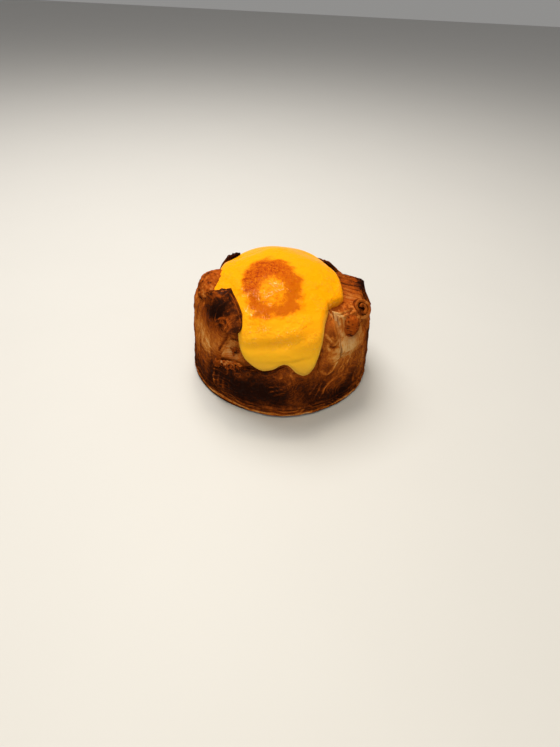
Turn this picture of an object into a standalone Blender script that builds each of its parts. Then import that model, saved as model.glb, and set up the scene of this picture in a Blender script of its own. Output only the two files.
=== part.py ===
"""Chestnut pie: one drum of folded laminated pastry, baked in a ring, with custard poured over its crown.

+Z is up and -Y is the front, where the custard runs down. The origin is the middle of the flat underside.
Sizes are in millimetres and angles in degrees. An azimuth of 0 is the front, and it grows towards +X.
"""

import math
from collections import namedtuple

import bmesh
import bpy
from mathutils import Vector, noise

MM = 0.001

# The drum of pastry
FOOT_RADIUS = 44.0  # widest radius, just above the underside
TAPER = 1.7  # how much narrower the wall is at the shoulder
WALL_TOP = 38.0  # height where the wall turns into the shoulder
SHOULDER_RADIUS = 7.8
FOOT_ROUND = 2.4  # the rounded lower edge
CROWN_RISE = 9.8  # the filling lifts the middle of the crown by this
GRAIN = 0.55  # uneven surface of baked dough

# The custard
CLEARANCE = 0.35  # gap between the custard and the pastry
POUR_DEPTH = 4.2  # custard on the crown
RUN_DEPTH = 3.3  # custard where it has run down the wall
POUR_EDGE = 3.4  # width of the rounded margin
POUR_REACH = 28.5  # how far it spreads from the axis, measured along the surface
CHESTNUT = (-6.0, -17.0, 9.0, 1.5)  # x, y, radius and height of the bump that shows in the custard
DOME = (-8.0, -2.0, 16.0, 0.9)  # the same for the top of the dome, which is left of the middle

# How finely the solids are faceted
BODY_STEPS = 90
WALL_ROWS = 11
SHOULDER_ROWS = 5
CROWN_ROWS = 5
POUR_ROWS = 10
POUR_FINE, POUR_COARSE = 2.0, 5.5  # degrees between the custard's columns, in front and behind

# A sheet of dough that lies on the wall. Each pair is for its left and its right side:
# azimuths at the foot and at the crown, heights of both, how far the crown leans in, and the sideways bow.
Fold = namedtuple("Fold", "name foot_az crown_az foot crown lean bow proud thick ragged")

FOLDS = (
    # the dark flap that stands up at the front left
    Fold("flap", (-58, -29), (-53, -44), (37, 39), (52.8, 53.9), (0.0, 8.5), (-1, 11), 1.1, 2.0, 0.7),
    # the smooth panel across the front, with its free edge at half height
    Fold("front_panel", (-44, 21), (-43, 10), (4, 5), (20.5, 30), (0, 0), (0, 0), 2.0, 2.2, 0.5),
    # the rolled end of dough that shows above the panel, beside the custard
    Fold("front_roll", (-39, -25), (-36, -24), (23, 25), (31.5, 34.5), (1.0, 1.0), (-3, 2), 1.6, 2.4, 0.3),
    # the upright fold beside the custard, which curls over at its top
    Fold("front_curl", (23, 36.5), (29, 37), (29, 32), (48.0, 49.5), (5.0, 5.5), (-2, 1), 1.8, 2.2, 0.5),
    # the fold under the rolled knob
    Fold("knob_fold", (39, 66), (38.5, 62), (29, 27), (47.5, 46), (4.5, 3.5), (0, 2), 1.9, 2.4, 0.4),
    # folds of the same dough round the sides and the back
    Fold("right_panel", (68, 122), (80, 112), (6, 5), (29, 37), (0, 0), (5, -4), 1.1, 2.2, 0.8),
    Fold("back_flap", (122, 166), (134, 155), (26, 23), (46.0, 44.8), (10.5, 9.8), (-3, 4), 1.3, 2.2, 1.0),
    Fold("back_panel", (168, 230), (181, 219), (5, 6), (27, 35), (0, 0), (4, -5), 1.2, 2.2, 0.8),
    Fold("left_flap", (214, 266), (226, 248), (24, 20), (49.0, 51.0), (11.5, 12.5), (-3, 3), 1.3, 2.4, 1.0),
)


def mix(a, b, t):
    return a + (b - a) * t


def ease(value, low, high):
    """0 below low and 1 above high, smoothly between them."""
    t = min(max((value - low) / (high - low), 0.0), 1.0)
    return t * t * (3 - 2 * t)


def turn(az, centre):
    """Degrees from centre to az, from -180 to 180."""
    return (az - centre + 180.0) % 360.0 - 180.0


def bump(offset, width):
    return math.exp(-((offset / width) ** 2))


def polar(az, radius, z):
    a = math.radians(az)
    return Vector((radius * math.sin(a), -radius * math.cos(a), z))


def azimuth(point):
    return math.degrees(math.atan2(point.x, -point.y))


def grain(point, size, seed=0.0):
    """Smooth noise from -1 to 1, with lumps of this size in millimetres."""
    return noise.noise(Vector((point.x / size + seed, point.y / size, point.z / size)))


# ---------------------------------------------------------------- the drum


def sunk(az, z):
    """The height of a point of the crown, which is lower at the right and at the back."""
    return z - ease(z, 18, 42) * (4.6 * bump(turn(az, 118), 36) + 1.2 * bump(turn(az, 180), 50))


def unevenness(az, z):
    """How far the wall stands out of a plain cone, in millimetres."""
    front = 1.7 * bump(turn(az, 2), 20) * (1 - ease(z, 0, 30))
    flats = -0.5 * (bump(turn(az, -38), 16) + bump(turn(az, 45), 18))
    flutes = 0.45 * math.sin(math.radians(az * 9 + z * 2)) * bump(turn(az, -80), 28) * ease(z, 6, 16)
    valley = -2.6 * bump(turn(az, -31), 7) * bump(z - 31, 6.5)
    seam = -1.6 * bump(turn(az, 37.6), 1.8) * ease(z, 30, 38)
    lean = 0.4 * math.sin(math.radians(az * 2 + 40)) + 0.3 * math.sin(math.radians(az * 3 - 70))
    lean -= 1.6 * bump(turn(az, 105), 32) * ease(z, 20, 40)
    return front + flats + flutes + valley + seam + lean


def wall_radius(az, z):
    return FOOT_RADIUS - TAPER * z / WALL_TOP + unevenness(az, z)


def profile():
    """The drum's half section from the rim of its underside to the axis, as (radius, height) pairs."""
    points = []
    for i in range(4):
        a = math.radians(90.0 * i / 3)
        points.append((FOOT_RADIUS - FOOT_ROUND * (1 - math.sin(a)), FOOT_ROUND * (1 - math.cos(a))))
    for i in range(1, WALL_ROWS + 1):
        z = mix(FOOT_ROUND, WALL_TOP, i / WALL_ROWS)
        points.append((FOOT_RADIUS - TAPER * z / WALL_TOP, z))
    top_radius = FOOT_RADIUS - TAPER
    for i in range(1, SHOULDER_ROWS + 1):
        a = math.radians(90.0 * i / SHOULDER_ROWS)
        points.append(
            (top_radius - SHOULDER_RADIUS * (1 - math.cos(a)), WALL_TOP + SHOULDER_RADIUS * math.sin(a))
        )
    inner, rim = points[-1]
    for i in range(1, CROWN_ROWS + 1):
        t = i / CROWN_ROWS
        points.append((inner * (1 - t), rim + CROWN_RISE * (1 - (1 - t) ** 2)))
    return points


def skin(az, run):
    """The point of the bare drum that lies this far from the axis along its surface, and its outward direction."""
    lengths = SKIN_RUNS
    i = 1
    while i < len(lengths) - 1 and lengths[i] < run:
        i += 1
    t = (run - lengths[i - 1]) / (lengths[i] - lengths[i - 1])
    (r0, z0), (r1, z1) = SKIN_LINE[i - 1], SKIN_LINE[i]
    radius, z = mix(r0, r1, t), mix(z0, z1, t)
    along = Vector((r1 - r0, z1 - z0)).normalized()
    radius += unevenness(az, z) * ease(z, FOOT_ROUND * 0.2, FOOT_ROUND) * ease(radius, 20, 40)
    out_r, out_z = -along.y, along.x
    return polar(az, radius, mix(z, sunk(az, z), ease(radius, 4, 30))), polar(az, out_r, out_z).normalized()


SKIN_LINE = list(reversed(profile()))
SKIN_RUNS = [0.0]
for (ra, za), (rb, zb) in zip(SKIN_LINE, SKIN_LINE[1:]):
    SKIN_RUNS.append(SKIN_RUNS[-1] + math.hypot(rb - ra, zb - za))


def finish_mesh(name, bm, material):
    """Turns a bmesh in millimetres into an object in metres."""
    bmesh.ops.recalc_face_normals(bm, faces=bm.faces)
    bmesh.ops.scale(bm, vec=(MM, MM, MM), verts=bm.verts)
    mesh = bpy.data.meshes.new(name)
    bm.to_mesh(mesh)
    bm.free()
    obj = bpy.data.objects.new(name, mesh)
    bpy.context.scene.collection.objects.link(obj)
    mesh.materials.append(material)
    return obj


def drum(material):
    """The turned drum, made uneven. Its underside stays flat."""
    bm = bmesh.new()
    points = profile()
    verts = [bm.verts.new((0, -r, z)) for r, z in points]
    for a, b in zip(verts, verts[1:]):
        bm.edges.new((a, b))
    bmesh.ops.spin(
        bm,
        geom=bm.verts[:] + bm.edges[:],
        cent=(0, 0, 0),
        axis=(0, 0, 1),
        angle=math.tau,
        steps=BODY_STEPS,
        use_merge=True,
    )
    bmesh.ops.remove_doubles(bm, verts=bm.verts, dist=0.001)
    rim = [e for e in bm.edges if e.is_boundary]
    bmesh.ops.holes_fill(bm, edges=rim, sides=0)
    bmesh.ops.recalc_face_normals(bm, faces=bm.faces)
    bm.normal_update()
    moves = {}
    for v in bm.verts:
        radius, z = math.hypot(v.co.x, v.co.y), v.co.z
        if z < 0.001:
            continue
        az = azimuth(v.co)
        out = Vector((v.co.x, v.co.y, 0)).normalized() if radius > 0.01 else Vector()
        v.co.z = mix(z, sunk(az, z), ease(radius, 4, 30))
        uneven = out * unevenness(az, z) * ease(z, FOOT_ROUND * 0.2, FOOT_ROUND) * ease(radius, 20, 40)
        lumps = GRAIN * grain(v.co, 7.0) * ease(z, 1, 5)
        moves[v] = uneven + v.normal * lumps
    for v, move in moves.items():
        v.co += move
    return finish_mesh("drum", bm, material)


# ---------------------------------------------------------------- folds and knobs


def sheet(name, columns, rows, outer, inner, material):
    """A closed sheet of dough. outer and inner give a point for each u and v from 0 to 1."""
    bm = bmesh.new()
    made = bmesh.ops.create_grid(bm, x_segments=columns, y_segments=rows, size=0.5)
    places = {v: (v.co.x + 0.5, v.co.y + 0.5) for v in made["verts"]}
    copied = bmesh.ops.duplicate(bm, geom=bm.verts[:] + bm.edges[:] + bm.faces[:])
    back = {copied["vert_map"][v]: place for v, place in places.items()}
    bmesh.ops.translate(bm, vec=(0, 0, -0.1), verts=list(back))
    bmesh.ops.bridge_loops(bm, edges=[e for e in bm.edges if e.is_boundary])
    for v, place in places.items():
        v.co = outer(*place)
    for v, place in back.items():
        v.co = inner(*place)
    return finish_mesh(name, bm, material)


def fold_object(fold, material):
    """One of FOLDS as a sheet that follows the wall, thicker at its foot, where it sinks into the drum."""
    width = abs(fold.foot_az[1] - fold.foot_az[0])
    height = max(fold.crown) - min(fold.foot)
    columns = max(6, round(width / 4.2))
    rows = max(6, round(height / 3.2))

    def place(u, v):
        bow = mix(fold.bow[0], fold.bow[1], u) * 4 * v * (1 - v)
        az = mix(mix(fold.foot_az[0], fold.foot_az[1], u), mix(fold.crown_az[0], fold.crown_az[1], u), v) + bow
        z = mix(mix(fold.foot[0], fold.foot[1], u), mix(fold.crown[0], fold.crown[1], u), v)
        tear = fold.ragged * noise.noise(Vector((az * 0.35, fold.foot[0], 1.7)))
        return az, z + tear * 1.6 * v * v, mix(fold.lean[0], fold.lean[1], u) * v * v

    def outer(u, v):
        az, z, lean = place(u, v)
        rim = min(ease(u, -0.05, 0.10), ease(1 - u, -0.05, 0.10), ease(v, -0.1, 0.25))
        swell = 0.35 * math.sin(math.pi * u) * math.sin(math.pi * v)
        lumps = GRAIN * grain(polar(az, 40, z), 6.0, 3.0)
        radius = wall_radius(az, min(z, WALL_TOP)) + (fold.proud + lumps) * mix(0.45, 1, rim) + swell - lean
        return polar(az, radius, z)

    def inner(u, v):
        az, z, lean = place(u, v)
        radius = wall_radius(az, min(z, WALL_TOP)) + fold.proud - fold.thick - 2.2 * (1 - v) - lean
        return polar(az, radius, z)

    return sheet(fold.name, columns, rows, outer, inner, material)


# Rounded lumps of dough: centre and radii
BUNS = (
    ((-33.0, -8.0, 46.5), (8.0, 11.0, 7.6)),  # the knob at the back left
    ((28.5, -20.0, 43.6), (8.6, 7.4, 6.6)),  # under the rolled knob
    ((30.8, -28.6, 40.4), (4.8, 4.8, 5.2)),  # the bulge in front of the rolled knob
)

ROLL_CENTRE = (31.2, -22.4, 45.6)  # the rolled knob at the front right
ROLL_RADIUS = 5.6
ROLL_TURNS = 1.7
ROLL_START = 0.3  # the angle where the ribbon begins, in radians
ROLL_GAP = 0.5
ROLL_DEPTH = 9.0
ROLL_FACING = (0.55, -0.62, 0.56)

STRATA = 6  # leaves of the layered fold at the right
STRATUM_PITCH = 3.7
STRATA_TOP = (52.4, 49.2)  # height of the second leaf by the custard and at the rim
STRATA_ENDS = (18.0, 36.3)  # how far the leaves reach along X


def bun_object(centre, radii, material):
    """A rounded lump of dough."""
    bm = bmesh.new()
    bmesh.ops.create_uvsphere(bm, u_segments=16, v_segments=10, radius=1.0)
    bmesh.ops.scale(bm, vec=radii, verts=bm.verts)
    bmesh.ops.translate(bm, vec=centre, verts=bm.verts)
    for v in bm.verts:
        v.co += (v.co - Vector(centre)).normalized() * 0.8 * grain(v.co, 4.5, 8.0)
    return finish_mesh("bun", bm, material)


def roll_object(material):
    """A ribbon of dough wound on itself, its end showing the spiral."""
    axis = Vector(ROLL_FACING).normalized()
    side = axis.cross(Vector((0, 0, 1))).normalized()
    up = side.cross(axis)
    pitch = ROLL_RADIUS / (ROLL_TURNS + 0.5)

    def wound(u, v, outward):
        a = math.tau * ROLL_TURNS * u + ROLL_START
        rounded = 0.45 + 0.55 * math.sin(math.pi * mix(0.12, 0.88, v))
        half = (pitch - ROLL_GAP) / 2 * rounded
        spoke = side * math.cos(a) + up * math.sin(a)
        depth = ROLL_DEPTH * (v - 0.5) + 1.3 * v * (1 - u)
        return Vector(ROLL_CENTRE) + spoke * (pitch * (0.5 + ROLL_TURNS * u) + outward * half) + axis * depth

    return sheet(
        "roll",
        round(ROLL_TURNS * 13),
        4,
        lambda u, v: wound(u, v, 1),
        lambda u, v: wound(u, v, -1),
        material,
    )


def stratum_object(index, material):
    """One leaf of the layered fold: a thin slab that runs from under the custard to the rim."""
    bm = bmesh.new()
    bmesh.ops.create_cube(bm, size=1.0)
    along = [e for e in bm.edges if abs(e.verts[0].co.x - e.verts[1].co.x) > 0.5]
    bmesh.ops.subdivide_edges(bm, edges=along, cuts=5)
    start, end = STRATA_ENDS
    end -= 10.0 if index == 0 else 0.5 * index - 0.07 * index * index
    for v in bm.verts:
        t = v.co.x + 0.5
        x = mix(start, end, t)
        wave = 0.5 * math.sin(t * 5 + index * 1.9)
        y = STRATUM_PITCH * (1.3 - index) + wave + v.co.y * STRATUM_PITCH * 1.25 - 1.6 * t
        crest = mix(*STRATA_TOP, t) - 0.8 * abs(index - 1) + 0.5 * math.sin(t * 4 + index)
        tilt = 0.9 if v.co.y > 0 else -0.6
        v.co = Vector((x, y, crest + tilt if v.co.z > 0 else 36.0))
    return finish_mesh(f"stratum_{index}", bm, material)


def pastry_pieces(material):
    """Everything that the pastry is folded from, each a closed solid."""
    pieces = [drum(material)]
    pieces += [bun_object(centre, radii, material) for centre, radii in BUNS]
    pieces += [fold_object(fold, material) for fold in FOLDS]
    pieces += [stratum_object(i, material) for i in range(STRATA)]
    return pieces


def swell(obj, amount):
    """Moves the whole surface of an object outwards by this many millimetres."""
    bm = bmesh.new()
    bm.from_mesh(obj.data)
    bm.normal_update()
    moves = {v: v.normal * amount * MM * min(v.calc_shell_factor(), 1.8) for v in bm.verts}
    for v, move in moves.items():
        v.co += move
    bm.to_mesh(obj.data)
    bm.free()


def combine(base, others, operation):
    """Joins or cuts base with the others, and removes them."""
    group = bpy.data.collections.new("operands")
    bpy.context.scene.collection.children.link(group)
    for obj in others:
        bpy.context.scene.collection.objects.unlink(obj)
        group.objects.link(obj)
    modifier = base.modifiers.new("join", "BOOLEAN")
    modifier.operation = operation
    modifier.solver = "EXACT"
    modifier.operand_type = "COLLECTION"
    modifier.collection = group
    graph = bpy.context.evaluated_depsgraph_get()
    mesh = bpy.data.meshes.new_from_object(base.evaluated_get(graph))
    base.modifiers.clear()
    base.data = mesh
    for obj in list(group.objects):
        bpy.data.objects.remove(obj)
    bpy.data.collections.remove(group)


def keep_largest(obj):
    """Drops the scraps that a cut leaves beside the main body."""
    bm = bmesh.new()
    bm.from_mesh(obj.data)
    unseen, largest = set(bm.verts), []
    while unseen:
        stack, island = [next(iter(unseen))], []
        unseen.discard(stack[0])
        while stack:
            v = stack.pop()
            island.append(v)
            for e in v.link_edges:
                w = e.other_vert(v)
                if w in unseen:
                    unseen.discard(w)
                    stack.append(w)
        if len(island) > len(largest):
            largest = island
    kept = set(largest)
    bmesh.ops.delete(bm, geom=[v for v in bm.verts if v not in kept], context="VERTS")
    bm.to_mesh(obj.data)
    bm.free()


# ---------------------------------------------------------------- the custard

# Where the custard has run further than POUR_REACH: azimuth, half width, and how much further it reaches
Run = namedtuple("Run", "az half_width reach power")

RUNS = (
    Run(-9.8, 17.0, 32.5, 2.4),  # the left lobe of the front run
    Run(13.2, 13.8, 34.8, 2.4),  # the right lobe
    Run(0.0, 42.0, 12.5, 4.0),  # the broad part of the front run, above the shoulder
    Run(-40.0, 20.0, 10.0, 3.0),  # the custard behind the flap
)

# Where its margin lies further out or further in elsewhere: azimuth, half width, and by how much
Sway = namedtuple("Sway", "az half_width reach")

SWAYS = (
    Sway(-66.0, 13.0, 6.5),
    Sway(-150.0, 34.0, 6.5),
    Sway(118.0, 40.0, -8.5),
    Sway(52.0, 14.0, 3.5),
)


def pour_reach(az):
    """How far the custard reaches from the axis along the surface."""
    base = POUR_REACH + sum(sway.reach * bump(turn(az, sway.az), sway.half_width) for sway in SWAYS)
    base += 0.5 * math.sin(math.radians(az * 9)) * ease(abs(az), 30, 50)
    total = 0.0
    for run in RUNS:
        t = abs(turn(az, run.az)) / run.half_width
        if t < 1:
            total += (run.reach * (1 - t**run.power) ** (1 / run.power)) ** 6
    return base + total ** (1 / 6)


def pour_depth(az, run, reach):
    """Custard's thickness at this distance from the axis along the surface."""
    down = ease(run, 32, 46)
    depth = mix(POUR_DEPTH, RUN_DEPTH, down)
    bead = 0.7 * bump(run - (reach - 5), 4) * ease(reach, 40, 50)
    ripple = 0.35 * math.sin(run * 0.55 + 0.8 * math.sin(math.radians(az * 3))) * ease(run, 36, 44)
    edge = min(max((reach - run) / POUR_EDGE, 0.0), 1.0)
    return (depth + bead + ripple) * math.sqrt(1 - (1 - edge) ** 2)


def columns_of_pour():
    """Azimuths from -180 to 180, closer together where the custard runs down the front."""
    angles, az = [], -180.0
    while az < 180.0 - 0.5:
        angles.append(az)
        az += mix(POUR_FINE, POUR_COARSE, ease(abs(az), 36, 52))
    return angles


def custard_blob(material):
    """The custard before the pastry is cut out of it, reaching a little way into the crust."""
    bm = bmesh.new()
    angles = columns_of_pour()
    columns = []
    for az in angles:
        reach = pour_reach(az)
        column = []
        for j in range(1, POUR_ROWS + 1):
            share = 1 - (1 - j / POUR_ROWS) ** 1.35
            run = reach * share
            point, out = skin(az, run)
            top = point + out * pour_depth(az, run, reach)
            for x, y, radius, height in (CHESTNUT, DOME):
                top.z += height * bump(math.hypot(top.x - x, top.y - y), radius)
            top.z += 0.35 * grain(top, 9.0, 5.0) * ease(reach - run, 0, 6)
            column.append(bm.verts.new(top))
        for share in (0.96, 0.62, 0.3):
            point, out = skin(az, reach * share)
            column.append(bm.verts.new(point - out * 1.6))
        columns.append(column)
    peak, out = skin(0, 0.001)
    top_pole = bm.verts.new(Vector((0, 0, peak.z + POUR_DEPTH + 0.6)))
    low_pole = bm.verts.new(Vector((0, 0, peak.z - 1.6)))
    for a, b in zip(columns, columns[1:] + columns[:1]):
        bm.faces.new((top_pole, a[0], b[0]))
        bm.faces.new((low_pole, b[-1], a[-1]))
        for k in range(len(a) - 1):
            bm.faces.new((a[k], a[k + 1], b[k + 1], b[k]))
    return finish_mesh("custard", bm, material)


# ---------------------------------------------------------------- materials and assembly


def baked(name, colour, roughness):
    material = bpy.data.materials.new(name)
    material.use_nodes = True
    shader = material.node_tree.nodes["Principled BSDF"]
    shader.inputs["Base Color"].default_value = (*colour, 1.0)
    shader.inputs["Roughness"].default_value = roughness
    shader.inputs["Metallic"].default_value = 0.0
    return material


def main():
    for obj in list(bpy.data.objects):
        bpy.data.objects.remove(obj)
    crust = baked("browned_pastry", (0.30, 0.11, 0.028), 0.45)
    cream = baked("egg_custard", (0.93, 0.50, 0.02), 0.28)

    custard = custard_blob(cream)
    cutters = pastry_pieces(crust)
    for cutter in cutters:
        swell(cutter, CLEARANCE)
    combine(custard, cutters, "DIFFERENCE")
    keep_largest(custard)

    pastry, *others = pastry_pieces(crust)
    pastry.name = "pastry"
    combine(pastry, [*others, roll_object(crust)], "UNION")
    keep_largest(pastry)
    for obj in (pastry, custard):
        obj.data.shade_smooth()
        obj.data.set_sharp_from_angle(angle=math.radians(50))


main()
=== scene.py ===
import math

import bmesh
import bpy
import numpy as np
from mathutils import Matrix, Vector, kdtree, noise


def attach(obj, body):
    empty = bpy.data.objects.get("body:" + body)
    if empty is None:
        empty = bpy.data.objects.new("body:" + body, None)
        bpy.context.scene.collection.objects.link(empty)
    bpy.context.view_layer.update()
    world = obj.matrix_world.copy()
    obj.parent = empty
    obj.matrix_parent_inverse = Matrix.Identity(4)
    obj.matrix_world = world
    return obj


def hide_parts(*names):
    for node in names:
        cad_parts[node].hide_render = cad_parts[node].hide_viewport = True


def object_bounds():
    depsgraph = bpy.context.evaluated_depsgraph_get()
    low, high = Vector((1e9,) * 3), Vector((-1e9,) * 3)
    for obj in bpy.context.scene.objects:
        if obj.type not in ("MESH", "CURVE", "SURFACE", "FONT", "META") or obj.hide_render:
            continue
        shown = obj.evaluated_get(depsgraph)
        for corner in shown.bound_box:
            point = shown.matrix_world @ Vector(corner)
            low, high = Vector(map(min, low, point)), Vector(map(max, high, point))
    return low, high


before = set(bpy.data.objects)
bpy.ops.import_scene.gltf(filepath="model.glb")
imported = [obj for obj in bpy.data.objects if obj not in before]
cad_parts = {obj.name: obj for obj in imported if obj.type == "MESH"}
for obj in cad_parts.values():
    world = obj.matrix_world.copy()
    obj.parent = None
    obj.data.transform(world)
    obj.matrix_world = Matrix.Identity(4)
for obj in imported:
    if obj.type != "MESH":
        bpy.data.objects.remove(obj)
cad_low, cad_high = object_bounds()

# ---------------------------------------------------------------- The drum
# The body of the pie: strips of laminated dough folded round a chestnut filling and baked in a
# ring. The wall took the ring's shape, with a rounded lower edge where the leaves show as a pale
# lip, and the filling lifts the crown.

# sizes are in millimetres and angles in degrees; azimuth 0 is the front and grows towards +X
MM = 0.001
FOOT_RADIUS = 44.0
FOOT_ROUND = 1.8
TAPER = 1.7
WALL_TOP = 38.0
SHOULDER_RADIUS = 7.8
CROWN_RISE = 9.8
DEGREE = math.radians(1) * FOOT_RADIUS  # the length of one degree round the wall
# parts that stand out of a plain cone (+) or back from it (-): how far, azimuth, half width, and
# the heights where each begins and is full
WALL_PARTS = (
    (1.7, 2, 20, 30, 0),
    (-0.5, -38, 16, -1, 0),
    (-0.5, 45, 18, -1, 0),
    (-1.6, 37.6, 1.8, 30, 38),
    (-1.6, 105, 32, 20, 40),
)
VALLEY = (-31, 31, 7, 6.5, -2.6)  # azimuth, height, half width, half height and depth
OUT_OF_ROUND = ((0.4, 2, 40), (0.3, 3, -70))  # how far, waves round the wall and their shift
FLUTED = (0.45, -80, 28, 6, 16)  # upright flutes at the left, as in WALL_PARTS
FLUTES_ROUND, FLUTE_SLANT = 9, 2
WALL_FADE, CROWN_FADE = (20, 40), (4, 30)  # distances from the axis over which these set in
# where the crown lies lower, as in WALL_PARTS
CROWN_DIPS = ((4.6, 118, 36, 18, 42), (1.2, 180, 50, 18, 42), (3.4, -128, 26, 32, 46))
CROWN_DENT = (4.0, -112, 14, 34, 43)
DENT_END = (45.8, 48.5)
# how finely the drum is meshed
DRUM_STEPS = 520
DRUM_SPACING = 0.52
ROUND_ROWS, CROWN_ROWS = 12, 34
WALL_FINENESS = 1.08
WALL_CROWDING, CROWN_CROWDING = 1.16, 0.75  # how far rows crowd towards the foot and the axis


def mix(a, b, t):
    return a + (b - a) * t


def ease(value, low, high):
    """0 below low and 1 above high, smoothly between them."""
    t = np.clip((value - low) / (high - low), 0.0, 1.0)
    return t * t * (3 - 2 * t)


def turn(az, centre):
    """Degrees from centre to az, from -180 to 180."""
    return (az - centre + 180.0) % 360.0 - 180.0


def bump(offset, width):
    return np.exp(-((offset / width) ** 2))


def polar(az, radius, z):
    a = np.radians(az)
    return np.stack(np.broadcast_arrays(radius * np.sin(a), -radius * np.cos(a), z), axis=-1)


def azimuth(points):
    return np.degrees(np.arctan2(points[:, 0], -points[:, 1]))


def lumps(points, size, seed=0.0, octaves=1):
    """Smooth noise from -1 to 1 at each point, with lumps of this size."""
    total = np.zeros(len(points))
    for octave in range(octaves):
        scaled = points / (size / 2**octave) + seed + octave * 7.3
        total += np.array([noise.noise(p) for p in scaled.tolist()]) / 2**octave
    return total


def swell(az, z, amount, centre, half, begins, full):
    """This amount round an azimuth, between the heights where it begins and where it is full."""
    return amount * bump(turn(az, centre), half) * ease(z, begins, full)


def spot(az, z, a, h, wide, high, amount):
    """This amount round an azimuth and a height."""
    return amount * bump(turn(az, a), wide) * bump(z - h, high)


def spread(az, z, spots):
    return sum(spot(az, z, *row) for row in spots)


def at_sides(az, left_half, right_half, elsewhere):
    """How much of something shows round the left and the right side, and elsewhere."""
    return bump(turn(az, -80), left_half) + bump(turn(az, 80), right_half) + elsewhere


def sunk(az, z):
    """The height of a point of the crown once its dips are made."""
    dent = swell(az, z, *CROWN_DENT) * (1 - ease(z, *DENT_END))
    return z - sum(swell(az, z, *row) for row in CROWN_DIPS) - dent


def unevenness(az, z):
    """How far the wall stands out of a plain cone."""
    flutes = np.sin(np.radians(az * FLUTES_ROUND + z * FLUTE_SLANT)) * swell(az, z, *FLUTED)
    lean = sum(far * np.sin(np.radians(az * waves + shift)) for far, waves, shift in OUT_OF_ROUND)
    parts = sum(swell(az, z, *row) for row in WALL_PARTS)
    return parts + flutes + spot(az, z, *VALLEY) + lean


def wall_radius(az, z):
    return FOOT_RADIUS - TAPER * z / WALL_TOP + unevenness(az, z)


def out_of_cone(az, radius, z):
    """The wall's unevenness, faded out under the foot and over the crown."""
    above_foot = ease(z, FOOT_ROUND * 0.2, FOOT_ROUND)
    return unevenness(az, z) * above_foot * ease(radius, *WALL_FADE)


def crown_height(az, radius, z):
    return mix(z, sunk(az, z), ease(radius, *CROWN_FADE))


def drum_profile(spacing):
    """The drum's half section, from the rim of its underside to the axis.

    Each row is a radius, a height and the direction outwards.
    """
    rows = []
    for i in range(ROUND_ROWS + 1):
        a = math.pi / 2 * i / ROUND_ROWS
        radius = FOOT_RADIUS - FOOT_ROUND * (1 - math.sin(a))
        rows.append((radius, FOOT_ROUND * (1 - math.cos(a)), math.sin(a), -math.cos(a)))
    count = round((WALL_TOP - FOOT_ROUND) / spacing * WALL_FINENESS)
    for i in range(1, count + 1):
        z = mix(FOOT_ROUND, WALL_TOP, (i / count) ** WALL_CROWDING)
        rows.append((FOOT_RADIUS - TAPER * z / WALL_TOP, z, 1.0, 0.0))
    top = FOOT_RADIUS - TAPER
    count = round(SHOULDER_RADIUS * math.pi / 2 / spacing)
    for i in range(1, count + 1):
        a = math.pi / 2 * i / count
        radius = top - SHOULDER_RADIUS * (1 - math.cos(a))
        rows.append((radius, WALL_TOP + SHOULDER_RADIUS * math.sin(a), math.cos(a), math.sin(a)))
    inner, rim = top - SHOULDER_RADIUS, WALL_TOP + SHOULDER_RADIUS
    for i in range(1, CROWN_ROWS + 1):
        share = (1 - i / CROWN_ROWS) ** CROWN_CROWDING
        slope = 2 * CROWN_RISE * share / inner
        length = math.hypot(1, slope)
        rows.append((inner * share, rim + CROWN_RISE * (1 - share**2), slope / length, 1 / length))
    return np.array(rows)


LEAF_PITCH = 2.3  # distance between the lines of two leaves
# where the leaves are bowed, so that their lines run in rings: distance round the wall from the
# front, height, half width, half height and rise
BOWED_LEAVES = (
    (-29.0, 37.0, 7.0, 8.5, 11.0),
    (-17.0, 14.0, 13.0, 9.0, 9.0),
    (3.0, 17.0, 5.0, 4.0, 6.0),
    (-50.0, 20.0, 9.0, 12.0, 6.0),
    (31.0, 9.0, 5.0, 5.0, 5.0),
    (14.0, 12.0, 5.0, 8.0, -5.0),
    (62.0, 26.0, 9.0, 12.0, 8.0),
    (-98.0, 22.0, 10.0, 12.0, 9.0),
    (96.0, 18.0, 8.0, 9.0, 8.0),
    (130.0, 22.0, 10.0, 8.0, -8.0),
)


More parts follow.
